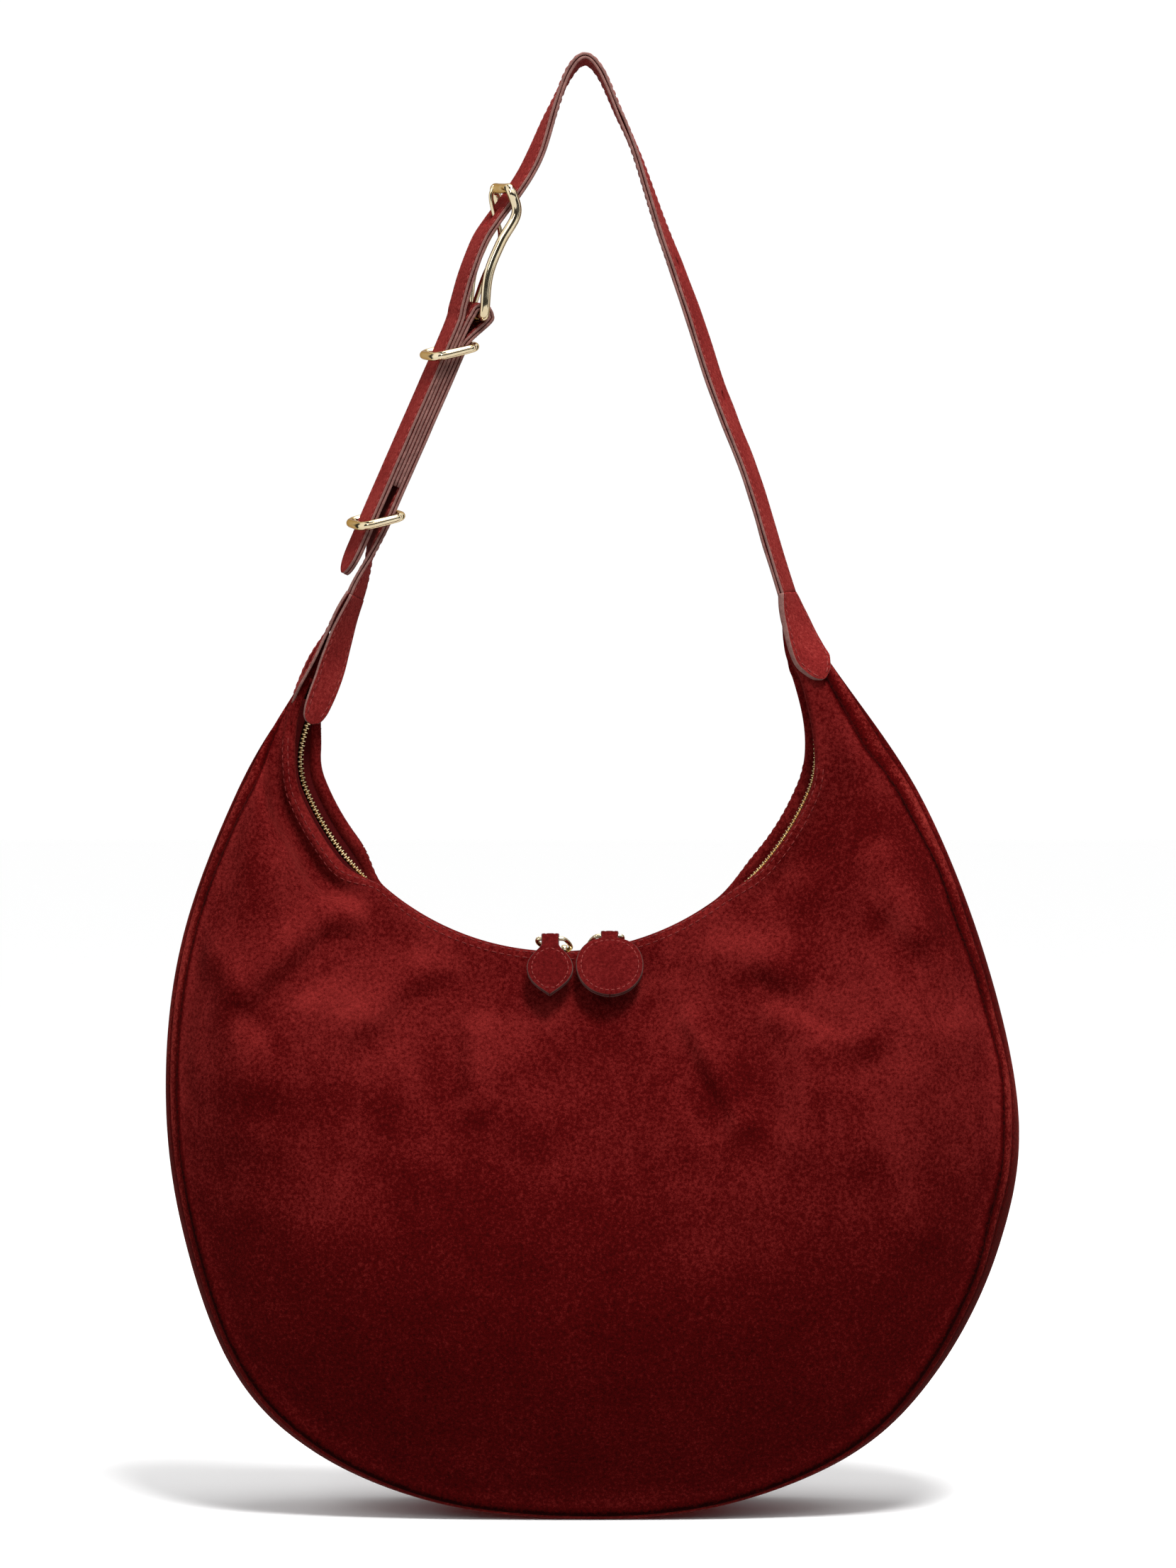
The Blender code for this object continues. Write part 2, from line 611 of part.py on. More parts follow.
def make_anchor_strap():
    """From the left horn up to the buckle's bar, round it, and back down behind the tail."""
    bar = BAR
    wrap = ROD + GAP + 0.5 * STRAP_PAIR
    around = [leg_point(bar[0] + wrap * math.sin(math.radians(d)), bar[1] + wrap * math.cos(math.radians(d)))
              for d in (-10, 30, 60, 90, 120, 150, 190)]
    up = [leg_point(-u, STACK) for u in (0.100, 0.05, 0.008, -0.001)]
    down = [leg_point(u, 0.0) for u in (0.003, -0.045, -FOLD_BACK)]
    _, face, backing = strap("anchor_strap", ANCHOR_START + up + around + down, 2)
    foot = bar_point()
    rows = [[foot + Vector((PRONG_CUT * math.cos(a), y, PRONG_CUT * math.sin(a)))
             for a in (2 * math.pi * k / 10 for k in range(10))] for y in (-PRONG_CUT_HALF, PRONG_CUT_HALF)]
    cutter = loft("prong_cut", rows, BRASS)
    turn_mesh(cutter)
    combine("DIFFERENCE", cutter, (face, backing))
    set_origin(face, HINGE)
    set_origin(backing, HINGE)


def make_strap_roots():
    """The strap's ends, which bend where they are sewn on the horns."""
    for side, points in (("left", LEFT_ROOT), ("right", RIGHT_ROOT)):
        path = catmull([Vector((x, 0, z)) for x, z in points], 2)
        layer(f"strap_root_{side}", path, -0.5 * STRAP_PAIR, 0.5 * STRAP_PAIR)


def make_buckle():
    """A long frame of round rod: two curved sides, a foot bar and a top bar."""
    foot, head = bar_point(), Vector((TOP_BAR[0], 0, TOP_BAR[1]))
    side = catmull([foot, *(Vector((x, 0, z)) for x, z in BUCKLE_SIDE), head], 4)
    side[0] = foot.lerp(side[1], 0.35)
    side[-1] = head.lerp(side[-2], 0.35)
    half, flat = Vector((0, BUCKLE_HALF, 0)), Vector((0, 0.9 * BUCKLE_HALF, 0))
    points = [p - half for p in side] + [head - flat, head, head + flat]
    points += [p + half for p in reversed(side)] + [foot + flat, foot, foot - flat]
    frame = rod("buckle_frame", points, ROD, BRASS, closed=True, cyclic_up=None)
    turn_mesh(frame)
    set_origin(frame, HINGE)


def make_prong():
    """A bent tongue hooked round the foot bar, through the strap's slot, onto the top bar."""
    foot = bar_point()
    hook = ROD + GAP + PRONG_ROD
    _, along, inward = leg_axes(LEFT_LEG)
    ring = [foot + hook * (math.cos(math.radians(d)) * -inward + math.sin(math.radians(d)) * along)
            for d in (-150, -100, -50, 0, 45)]
    path = ring + [Vector((x, 0, z)) for x, z in PRONG]
    path = ring[:-1] + catmull(path[len(ring) - 1:], 3)
    prong = rod("buckle_prong", path, PRONG_ROD, BRASS, sides=6)
    turn_mesh(prong)
    set_origin(prong, turned(foot))


def make_keepers():
    """Two oval rings that hold the strap's tail down on the anchor strap."""
    _, along, inward = leg_axes(LEFT_LEG)
    tilt = math.radians(KEEPER_TILT)
    askew = inward * math.cos(tilt) + along * math.sin(tilt)
    upright = along * math.cos(tilt) - inward * math.sin(tilt)
    for name, u in (("upper", KEEPER_TOP), ("lower", KEEPER_TOP - KEEPER_SPACING)):
        x, z = leg_point(u, 0.0)
        centre = Vector((x, 0, z))
        points = []
        for k in range(24):
            a = 2 * math.pi * k / 24
            c, s = math.cos(a), math.sin(a)
            across = math.copysign(abs(c) ** KEEPER_SQUARE, c) * KEEPER_HALF[0]
            deep = math.copysign(abs(s) ** KEEPER_SQUARE, s) * KEEPER_HALF[1]
            points.append(centre + Vector((0, across, 0)) + askew * deep)
        ring = rod(f"keeper_{name}", points, RING_ROD, BRASS, closed=True, cyclic_up=upright)
        turn_mesh(ring)
        set_origin(ring, turned(centre))


clear_scene()
PARTS = new_collection("hobo_bag")
CUTTERS = new_collection("cutters")
make_panels()
make_gusset()
make_lining()
make_pocket()
make_zip()
make_zip_stops()
for SIDE in ("left", "right"):
    make_slider(SIDE)
    make_pull_ring(SIDE)
make_tag("shield_tag", "left", -TAG_OFFSET, SHIELD_LENGTH, shield_half_width)
make_tag("round_tag", "right", TAG_OFFSET, ROUND_LENGTH, round_half_width)
make_long_strap()
make_anchor_strap()
make_strap_roots()
make_buckle()
make_prong()
make_keepers()
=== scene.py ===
"""Looks of a hobo bag in soft suede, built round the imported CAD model.

Metres, +Z up, the front faces -Y. Sizes named here repeat the CAD model's own."""

import math

import bmesh
import bpy
import numpy as np
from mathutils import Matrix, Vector


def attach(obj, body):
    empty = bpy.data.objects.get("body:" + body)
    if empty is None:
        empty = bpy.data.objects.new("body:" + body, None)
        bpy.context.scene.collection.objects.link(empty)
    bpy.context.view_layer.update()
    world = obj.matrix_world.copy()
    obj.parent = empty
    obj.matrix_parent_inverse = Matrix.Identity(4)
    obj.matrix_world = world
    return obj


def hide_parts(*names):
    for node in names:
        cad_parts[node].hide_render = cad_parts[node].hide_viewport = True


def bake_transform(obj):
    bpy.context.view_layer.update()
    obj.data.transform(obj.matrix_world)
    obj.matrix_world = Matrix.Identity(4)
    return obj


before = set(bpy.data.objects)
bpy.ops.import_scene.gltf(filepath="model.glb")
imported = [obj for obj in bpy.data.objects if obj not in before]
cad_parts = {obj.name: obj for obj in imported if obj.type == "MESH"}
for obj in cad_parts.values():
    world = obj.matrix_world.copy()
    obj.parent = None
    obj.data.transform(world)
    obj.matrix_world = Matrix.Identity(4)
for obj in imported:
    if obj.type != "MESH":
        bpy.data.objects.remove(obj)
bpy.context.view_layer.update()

# ---- sizes shared with the CAD model --------------------------------------------------------
WALL = 0.0016
LINING_WALL, LINING_OFFSET, MOUTH_DROP = 0.0008, 0.0042, 0.0072
MOUTH_CENTRE, MOUTH_RADIUS = (-0.018, 0.426), 0.137
HORN_ANGLE, ARC_ANGLE = 84.0, 68.0
ZIP_DEPTH, TOOTH_HEIGHT = 0.0045, 0.0026
HEM_HALF, SHOULDER = 0.0065, 0.0125
OUTLINE = [(-0.150, 0.432), (-0.184, 0.373), (-0.2125, 0.297), (-0.2215, 0.223), (-0.214, 0.150),
           (-0.188, 0.075), (-0.146, 0.031), (-0.080, 0.0035), (0.0, -0.0045), (0.072, 0.0035),
           (0.138, 0.031), (0.181, 0.075), (0.2105, 0.135), (0.2212, 0.200), (0.205, 0.282),
           (0.171, 0.368), (0.122, 0.441)]
LEFT_TIP, LEFT_LEAN = (-0.134, 0.426), (-0.153, 0.395)
RIGHT_TIP, RIGHT_LEAN = (0.104, 0.433), (0.1165, 0.395)
BASE_HALF, HORN_HALF, BULGE = 0.043, 0.0095, 0.041
SEAM_INSET_SIDE, SEAM_INSET_BASE = 0.0132, 0.0075

STRAP_WIDTH, STRAP_LAYER, LAYER_GAP = 0.025, 0.0015, 0.0004
STRAP_PAIR = 2 * STRAP_LAYER + LAYER_GAP
STACK = STRAP_PAIR + 0.0003
LONG_STRAP = [(-0.0700, 0.624), (-0.0655, 0.640), (-0.0590, 0.657), (-0.0520, 0.668), (-0.0430, 0.680),
              (-0.0350, 0.692), (-0.0290, 0.704), (-0.0215, 0.724), (-0.0120, 0.745), (-0.0040, 0.7520),
              (0.0040, 0.745), (0.0135, 0.724), (0.0230, 0.702), (0.0345, 0.668), (0.0505, 0.624),
              (0.0650, 0.580), (0.0820, 0.536), (0.0930, 0.500), (0.1010, 0.474)]
LEFT_LEG = ((-0.1126, 0.513), (-0.0720, 0.606))
RIGHT_LEG = ((0.0930, 0.500), (0.0505, 0.624))
APEX_X, APEX_Z = -0.004, 0.752
LEG_TURN, TURN_DROP = 18.0, (0.055, 0.150)
ANCHOR_START = [(-0.1235, 0.472), (-0.1165, 0.490)]
TAIL_LENGTH, FOLD_BACK = 0.134, 0.082
BAR, ROD, GAP = (0.0165, 0.0055), 0.00275, 0.0003
PRONG_CROSSING = (-0.0513, 0.6693)
PRONG_SLOT, HOLE_LENGTH, HOLE_WIDTH, HOLE_PITCH = 0.0115, 0.0055, 0.0034, 0.072
PRONG_CUT, PRONG_CUT_HALF = 0.0095, 0.0021

TOP_BAR = (-0.0473, 0.6846)
BUCKLE_SIDE = [(-0.0585, 0.640), (-0.0520, 0.657), (-0.0440, 0.672)]
BUCKLE_HALF, BUCKLE_ROD, PRONG_ROD = 0.0163, 0.0026, 0.0013
PRONG = [(-0.0560, 0.640), (-0.0495, 0.653), (-0.0480, 0.662), (-0.0515, 0.672), (-0.0532, 0.680),
         (-0.0522, 0.6862)]
KEEPER_TOP, KEEPER_SPACING, KEEPER_HALF, KEEPER_SQUARE = -0.0060, 0.0955, (0.0163, 0.0109), 0.42
KEEPER_TILT, KEEPER_WIRE = 38.0, 0.0023
RING_ROD = 0.0019
RING_SHAPE = [(-0.0014, 0.0), (0.0, 0.0), (0.0014, 0.0), (0.0070, 0.20), (0.0118, 0.42), (0.0138, 0.70),
              (0.0139, 0.90), (0.0130, 1.0), (0.0090, 1.0), (0.0055, 1.0), (0.0013, 1.0), (-0.0004, 0.92),
              (-0.0024, 0.60), (-0.0034, 0.24)]
PLATE, BRIDGE_HALF, BRIDGE_RISE, BRIDGE_ROD = 0.0015, 0.0026, 0.0024, 0.0007
SLIDER_ANGLES = {"left": 1.4, "right": 8.2}
LINK_ROD = 0.0011
RING_REST, RING_REACH = 0.0002, (-0.0077, 0.0063)
TAG_LEATHER, TAG_LOBE_GAP, TAG_OFFSET, TAG_START = 0.0013, 0.0005, 0.0073, 0.10
TAG_KNEE, TAG_TOE = (-0.0180, -0.0010), (-0.0325, -0.0255)
TAG_NECK, TAG_NECK_HALF = 0.0080, 0.0046
SHIELD_LENGTH = 0.0370
ROUND_LENGTH, ROUND_RADIUS = 0.0390, 0.0174
TAG_SEAM = 0.0026
SHIELD_SHAPE = [(0.0, 0.0046), (0.06, 0.0056), (0.14, 0.0075), (0.24, 0.0098), (0.34, 0.0113),
                (0.44, 0.0120), (0.54, 0.0119), (0.64, 0.0110), (0.74, 0.0092), (0.84, 0.0063),
                (0.93, 0.0030), (1.0, 0.0004)]
STOP_ANGLE = 82.3

# ---- sizes of the fine surface --------------------------------------------------------------
STATIONS = 281                              # sections along the body
TWIST_LEFT, TWIST_RIGHT = 58.0, 21.0        # how far the horns turn, in degrees
WELT_RIDGE, WELT_GROOVE = 0.0062, 0.0102    # the gusset's welt, measured from the seam
SEAM_DIP, SEAM_ROLL = 0.0036, 0.0012        # the gusset's fall and the panels' swell at the seam
HEM_NARROWING, HORN_LEAN = 0.0018, 0.0070   # at the left horn
FOLD_SCALE, DEEPEST_FOLD = 1.35, 0.0017     # the folds stay clear of the lining
BACK_FOLD_RISE = 0.012                      # the back's folds are the front's, mirrored and higher
HEM_ROWS = (0.0012, 0.0046)                 # the hem's two rows of stitching
TAPE_INNER, TAPE_OUTER, TAPE_THICK = 0.0017, 0.0083, 0.0006
STOP_HALF_WIDTH, STOP_HALF_HEIGHT, STOP_SPAN = 0.0036, 0.0016, 0.55     # the span in degrees
TAIL_ROUNDING = 0.016                       # how far the strap's free end narrows
TOOTH_PITCH = 0.0022
STITCH, STITCH_GAP, THREAD = 0.0030, 0.0010, 0.00034
STITCH_INSET, STITCH_LIFT = 0.0024, 0.00005     # from a strap's edge, and above its face
SMALL_STITCH = {"length": 0.0021, "gap": 0.0008, "radius": 0.00026}

ACROSS = np.array([0.0, 1.0, 0.0])
SIDEWAYS = np.array([1.0, 0.0, 0.0])


# ---- small maths ----------------------------------------------------------------------------
def smooth(low, high, value):
    """From 0 at low to 1 at high, with level ends."""
    t = np.clip((np.asarray(value, float) - low) / (high - low), 0.0, 1.0)
    return t * t * (3 - 2 * t)


def unit(v):
    v = np.asarray(v, float)
    return v / np.maximum(np.linalg.norm(v, axis=-1, keepdims=True), 1e-12)


def flat(point):
    """A point of the XZ plane as a point in space."""
    return np.array([point[0], 0.0, point[1]])


def circle(count):
    """Angles evenly spread round a full turn."""
    return 2 * np.pi * np.arange(count) / count


def squared(turn, power):
    """A circle's two coordinates, pushed towards a square by a power below one."""
    return tuple(np.sign(f(turn)) * np.abs(f(turn)) ** power for f in (np.cos, np.sin))


def spline(points, steps):
    """A smooth curve through the first axis of an array, with steps points in each span."""
    pts = np.asarray(points, float)
    pts = np.concatenate([2 * pts[:1] - pts[1:2], pts, 2 * pts[-1:] - pts[-2:-1]])
    p0, p1, p2, p3 = (pts[i:len(pts) - 3 + i, None] for i in range(4))
    t = (np.arange(steps) / steps).reshape((1, steps) + (1,) * (pts.ndim - 1))
    curve = 0.5 * (2 * p1 + (p2 - p0) * t + (2 * p0 - 5 * p1 + 4 * p2 - p3) * t ** 2
                   + (3 * p1 - p0 - 3 * p2 + p3) * t ** 3)
    return np.concatenate([curve.reshape((-1,) + pts.shape[1:]), pts[-2:-1]])


def lengths(points):
    """Distance along a polyline at each of its points."""
    steps = np.linalg.norm(np.diff(points, axis=0), axis=1)
    return np.concatenate([[0.0], np.cumsum(steps)])


def along_line(points, distance):
    """Points at distances along a polyline."""
    at = lengths(points)
    return np.stack([np.interp(distance, at, points[:, i]) for i in range(points.shape[1])], axis=-1)


def way_along(points, distance):
    """A polyline's direction at distances along it."""
    return unit(along_line(points, distance + 0.0004) - along_line(points, distance - 0.0004))


def tangents(points):
    return unit(np.gradient(points, axis=0))


def waves(points, seed, wavelength, stretch=(1, 1, 1)):
    """Smooth noise between about -1 and 1: a sum of plane waves in random directions."""
    rng = np.random.default_rng(seed)
    count = 18
    total = np.zeros(points.shape[:-1])
    for _ in range(count):
        direction = unit(rng.normal(size=3)) * np.asarray(stretch)
        size = 2 * np.pi / (wavelength * rng.uniform(0.7, 1.5))
        total += np.sin(points @ (direction * size) + rng.uniform(0, 2 * np.pi))
    return total / math.sqrt(count) / 1.4


def grid_normals(grid):
    return unit(np.cross(np.gradient(grid, axis=0), np.gradient(grid, axis=1)))


# ---- meshes ---------------------------------------------------------------------------------
def new_object(name, verts, faces, skin, values=None):
    """An object from arrays, with optional per-vertex values that the materials read."""
    mesh = bpy.data.meshes.new(name)
    mesh.from_pydata(np.asarray(verts, float).reshape(-1, 3).tolist(), [], faces)
    for key, value in (values or {}).items():
        layer = mesh.attributes.new(key, "FLOAT", "POINT")
        layer.data.foreach_set("value", np.asarray(value, np.float32).ravel())
    mesh.materials.append(skin)
    mesh.shade_smooth()
    item = bpy.data.objects.new(name, mesh)
    bpy.context.scene.collection.objects.link(item)
    return item


def grid_faces(rows, columns, close_columns=False, first=0):
    width = columns if close_columns else columns - 1
    faces = []
    for i in range(rows - 1):
        for j in range(width):
            k = (j + 1) % columns
            a = first + i * columns
            faces.append((a + j, a + columns + j, a + columns + k, a + k))
    return faces


def bar_faces(rows, columns, first=0):
    """The faces of a closed bar: its sides and its two ends."""
    last = first + (rows - 1) * columns
    return grid_faces(rows, columns, close_columns=True, first=first) + [
        tuple(range(first, first + columns)), tuple(reversed(range(last, last + columns)))]


def sheet_object(name, grid, skin, thickness, values=None, flip=False, even=True):
    """An open sheet, with its depth given away from its normals."""
    rows, columns = grid.shape[:2]
    faces = grid_faces(rows, columns)
    if flip:
        faces = [face[::-1] for face in faces]
    item = new_object(name, grid, faces, skin, values)
    depth = item.modifiers.new("thickness", "SOLIDIFY")
    depth.thickness = thickness
    depth.offset = -1.0
    depth.use_even_offset = even
    return item


def tube_object(name, rings, skin, values=None, closed=False, caps=True):
    """A bar or a ring whose sections are the rows of a grid."""
    rows, columns = rings.shape[:2]
    ends = caps and not closed
    faces = bar_faces(rows, columns) if ends else grid_faces(rows, columns, close_columns=True)
    if closed:
        last = (rows - 1) * columns
        faces += [(last + j, j, (j + 1) % columns, last + (j + 1) % columns) for j in range(columns)]
    item = new_object(name, rings, faces, skin, values)
    face_outwards(item)
    return item


def face_outwards(item):
    """Turn every face to point out of its solid."""
    bm = bmesh.new()
    bm.from_mesh(item.data)
    bmesh.ops.recalc_face_normals(bm, faces=bm.faces)
    if bm.calc_volume(signed=True) < 0:
        bmesh.ops.reverse_faces(bm, faces=bm.faces)
    bm.to_mesh(item.data)
    bm.free()


def rod_rings(path, radius, sides, closed=False, up=ACROSS):
    """Round sections along a path."""
    if closed:
        along = unit(np.roll(path, -1, axis=0) - np.roll(path, 1, axis=0))
    else:
        along = tangents(path)
    side = np.broadcast_to(np.asarray(up, float), path.shape)
    side = unit(side - along * np.sum(side * along, axis=1, keepdims=True))
    across = np.cross(along, side)
    turn = circle(sides)
    radius = np.broadcast_to(np.asarray(radius, float), (len(path),))
    ring = np.cos(turn)[None, :, None] * side[:, None] + np.sin(turn)[None, :, None] * across[:, None]
    return path[:, None] + radius[:, None, None] * ring


def apply_modifiers(item):
    """Replace an object's mesh by what its modifiers make of it."""
    graph = bpy.context.evaluated_depsgraph_get()
    mesh = bpy.data.meshes.new_from_object(item.evaluated_get(graph), depsgraph=graph)
    item.modifiers.clear()
    item.data = mesh
    return item


class Stitches:
    """Short raised threads gathered into one mesh."""

    def __init__(self):
        self.verts, self.faces, self.count = [], [], 0

    def row(self, path, normals, length=STITCH, gap=STITCH_GAP, radius=THREAD):
        """Stitches along a path that lies on a surface with the given normals."""
        total = lengths(path)[-1]
        number = max(int(total / (length + gap)), 1)
        pitch = total / number
        share = length / (length + gap)
        starts = (np.arange(number) + 0.5 * (1 - share)) * pitch
        t = np.array([0.0, 0.12, 0.5, 0.88, 1.0])
        lift = np.array([-1.0, -0.1, 0.12, -0.1, -1.0]) * radius
        size = np.array([0.45, 0.95, 1.0, 0.95, 0.45]) * radius
        places = starts[:, None] + t[None] * pitch * share
        centre = along_line(path, places)
        up = unit(np.stack([np.interp(places, lengths(path), normals[:, axis]) for axis in range(3)],
                           axis=-1))
        along = unit(centre[:, -1] - centre[:, 0])[:, None]
        across = unit(np.cross(along, up))
        centre = centre + up * lift[None, :, None]
        turn = circle(6)
        ring = (np.cos(turn)[None, None, :, None] * up[:, :, None]
                + np.sin(turn)[None, None, :, None] * across[:, :, None])
        rings = centre[:, :, None] + ring * size[None, :, None, None]
        for stitch in rings:
            self.verts.append(stitch.reshape(-1, 3))
            self.faces += bar_faces(5, 6, first=self.count)
            self.count += 30

    def build(self, name, skin):
        return new_object(name, np.concatenate(self.verts), self.faces, skin)


# ---- materials ------------------------------------------------------------------------------
def add_node(tree, kind, inputs=None, **settings):
    """A new node, with its settings and its inputs' values or sources."""
    node = tree.nodes.new("ShaderNode" + kind)
    for key, value in settings.items():
        setattr(node, key, value)
    for key, value in (inputs or {}).items():
        if isinstance(value, bpy.types.NodeSocket):
            tree.links.new(value, node.inputs[key])
        else:
            node.inputs[key].default_value = value
    return node


def plain_paint(name, colour, roughness):
    """A material of one colour."""
    paint = bpy.data.materials.new(name)
    paint.use_nodes = True
    shader = paint.node_tree.nodes["Principled BSDF"]
    shader.inputs["Base Color"].default_value = (*colour, 1)
    shader.inputs["Roughness"].default_value = roughness
    return paint


class Skin:
    """Short calls for building a material's nodes."""

    def __init__(self, name):
        self.material = bpy.data.materials.new(name)
        self.material.use_nodes = True
        self.tree = self.material.node_tree
        self.shader = self.tree.nodes["Principled BSDF"]
        self.place = self.tree.nodes.new("ShaderNodeTexCoord").outputs["Object"]

    def set(self, **values):
        for key, value in values.items():
            self.shader.inputs[key.replace("_", " ")].default_value = value

    def link(self, source, target):
        self.tree.links.new(source, self.shader.inputs[target])

    def mapped(self, scale, rotation=(0, 0, 0)):
        inputs = {"Scale": scale, "Rotation": rotation, "Vector": self.place}
        return add_node(self.tree, "Mapping", inputs).outputs["Vector"]

    def noise(self, scale, detail=2.0, roughness=0.5, vector=None, distortion=0.0):
        inputs = {"Scale": scale, "Detail": detail, "Roughness": roughness, "Distortion": distortion,
                  "Vector": vector or self.place}
        return add_node(self.tree, "TexNoise", inputs).outputs["Fac"]

    def wave(self, scale, axis, distortion):
        inputs = {"Scale": scale, "Distortion": distortion, "Vector": self.place}
        return add_node(self.tree, "TexWave", inputs, bands_direction=axis).outputs["Fac"]

    def value(self, key):
        return add_node(self.tree, "Attribute", attribute_name=key).outputs["Fac"]

    def math(self, operation, a, b):
        return add_node(self.tree, "Math", {0: a, 1: b}, operation=operation).outputs[0]

    def blend(self, parts):
        """A weighted sum of (source, weight), each taken about its middle, about 0.5."""
        total = 0.5
        for source, weight in parts:
            step = self.math("MULTIPLY", self.math("SUBTRACT", source, 0.5), weight)
            total = self.math("ADD", total, step)
        return total

    def ramp(self, source, stops):
        node = add_node(self.tree, "ValToRGB", {"Fac": source})
        ramp = node.color_ramp
        ramp.elements[0].position, ramp.elements[0].color = stops[0][0], (*stops[0][1], 1)
        ramp.elements[1].position, ramp.elements[1].color = stops[-1][0], (*stops[-1][1], 1)
        for position, colour in stops[1:-1]:
            ramp.elements.new(position).color = (*colour, 1)
        return node.outputs["Color"]

    def mix(self, factor, a, b):
        return add_node(self.tree, "Mix", {"Factor": factor, 6: a, 7: b}, data_type="RGBA").outputs[2]

    def rough(self, source, low, high):
        node = add_node(self.tree, "MapRange", {"Value": source, "To Min": low, "To Max": high})
        self.link(node.outputs["Result"], "Roughness")

    def bump(self, source, depth, strength):
        node = add_node(self.tree, "Bump", {"Distance": depth, "Strength": strength, "Height": source})
        self.link(node.outputs["Normal"], "Normal")


def suede(name, dark, middle, light, edge=None, blotch=1.0):
    """Brushed nap: soft blotches where it lies differently, fine speckle, a dull sheen, and the painted
    light and shade that each mesh carries.
    """
    skin = Skin(name)
    skin.set(Sheen_Weight=0.05, Sheen_Roughness=0.4, Sheen_Tint=(0.9, 0.16, 0.11, 1.0),
             Specular_IOR_Level=0.02)
    brushed = skin.mapped(scale=(1.0, 1.0, 0.55), rotation=(0.0, 0.35, 0.0))
    blotches = skin.noise(11.0, 3.0, 0.55, brushed, 0.6)
    patches = skin.noise(42.0, 3.0, 0.6, brushed, 0.8)
    nap = skin.noise(620.0, 2.0, 0.6)
    speckle = skin.noise(1900.0, 1.0, 0.5)
    brushing = skin.blend([(blotches, 0.50 * blotch), (patches, 0.42 * blotch)])
    brushing = skin.math("MULTIPLY", skin.math("SUBTRACT", brushing, 0.5),
                         skin.math("SUBTRACT", 1.0, skin.value("calm")))
    tone = skin.math("ADD", skin.blend([(nap, 0.85), (speckle, 0.50)]), brushing)
    # the per-vertex value adds the nap's own tone and, on the body, painted light and shade
    tone = skin.math("ADD", tone, skin.value("nap_and_painted_light"))
    darkest, lightest = (tuple(max(0.3 * d, m + 1.7 * (d - m)) for m, d in zip(middle, shade))
                         for shade in (dark, light))
    colour = skin.ramp(tone, [(0.02, darkest), (0.50, middle), (1.0, lightest)])
    height = skin.blend([(nap, 0.6), (speckle, 0.5), (patches, 0.2)])
    if edge is not None:
        grain = skin.noise(380.0, 2.0, 0.6)
        paint = skin.ramp(grain, [(at, tuple(share * c for c in edge))
                                  for at, share in ((0.3, 0.75), (0.7, 1.2))])
        colour = skin.mix(skin.value("edge"), colour, paint)
        skin.rough(skin.value("edge"), 0.95, 0.5)
    else:
        skin.rough(nap, 0.86, 1.0)
    skin.link(colour, "Base Color")
    skin.bump(height, 0.00035, 0.8)
    return skin.material


def brass(name, dark, light, rough):
    """Pale polished brass with faint rubbing marks."""
    skin = Skin(name)
    skin.set(Metallic=1.0, Specular_Tint=(0.40, 0.26, 0.13, 1.0))
    cloud = skin.noise(60.0, 3.0, 0.6)
    rub = skin.noise(700.0, 2.0, 0.6, skin.mapped(scale=(1, 1, 0.15)))
    skin.link(skin.ramp(cloud, [(0.3, dark), (0.7, light)]), "Base Color")
    skin.rough(skin.blend([(cloud, 0.6), (rub, 0.8)]), rough, rough + 0.14)
    skin.bump(rub, 0.00002, 0.5)
    return skin.material


def cloth(name, dark, light, thread):
    """A plain weave of crossed threads, with the thread's spacing in metres."""
    skin = Skin(name)
    skin.set(Specular_IOR_Level=0.05)
    pitch = 0.31 / thread
    warp = skin.wave(pitch, "X", distortion=0.4)
    weft = skin.wave(pitch, "Z", distortion=0.4)
    weave = skin.math("MAXIMUM", warp, weft)
    cloud = skin.noise(55.0, 3.0, 0.6)
    tone = skin.blend([(weave, 0.8), (cloud, 0.6)])
    skin.link(skin.ramp(tone, [(0.2, dark), (0.85, light)]), "Base Color")
    skin.rough(cloud, 0.75, 0.95)
    skin.bump(weave, 0.00015, 0.7)
    return skin.material


def thread_skin(name, dark, light):
    """Twisted sewing thread."""
    skin = Skin(name)
    skin.set(Specular_IOR_Level=0.12)
    ply = skin.noise(2600.0, 1.0, 0.5)
    tone = skin.blend([(ply, 0.9), (skin.noise(90.0), 0.7)])
    skin.link(skin.ramp(tone, [(0.25, dark), (0.8, light)]), "Base Color")
    skin.rough(ply, 0.5, 0.75)
    skin.bump(ply, 0.0001, 0.8)
    return skin.material


EDGE_PAINT = (0.185, 0.092, 0.080)
BODY = suede("suede_body", (0.026, 0.0002, 0.0003), (0.054, 0.0012, 0.0014), (0.122, 0.0085, 0.0078))
STRAP = suede("suede_strap", (0.085, 0.0040, 0.0040), (0.150, 0.0120, 0.0110), (0.230, 0.0300, 0.0250),
              edge=EDGE_PAINT, blotch=0.7)
TAGS = suede("suede_tags", (0.042, 0.0014, 0.0015), (0.080, 0.0040, 0.0042), (0.135, 0.0110, 0.0105),
             edge=(0.085, 0.038, 0.034), blotch=0.5)
# the gusset is the body's suede with a lighter top end: painted rim light along the bag's sides
GUSSET_PAINTED_RIM_LIGHT = suede("suede_gusset_painted_rim_light", (0.026, 0.0002, 0.0003), (0.060, 0.0012, 0.0013), (0.170, 0.0150, 0.0125))
METAL = brass("pale_brass", (0.78, 0.63, 0.39), (0.90, 0.79, 0.56), 0.05)
ZIP_METAL = brass("zip_brass", (0.86, 0.62, 0.30), (0.98, 0.80, 0.48), 0.26)
LINING = cloth("lining_cloth", (0.13, 0.024, 0.022), (0.27, 0.065, 0.058), 0.0006)
TAPE = cloth("zip_tape", (0.020, 0.0006, 0.0008), (0.058, 0.0024, 0.0028), 0.0005)
THREADS = thread_skin("strap_thread", (0.15, 0.018, 0.016), (0.30, 0.055, 0.046))
TAG_THREADS = thread_skin("tag_thread", (0.120, 0.012, 0.011), (0.26, 0.042, 0.036))
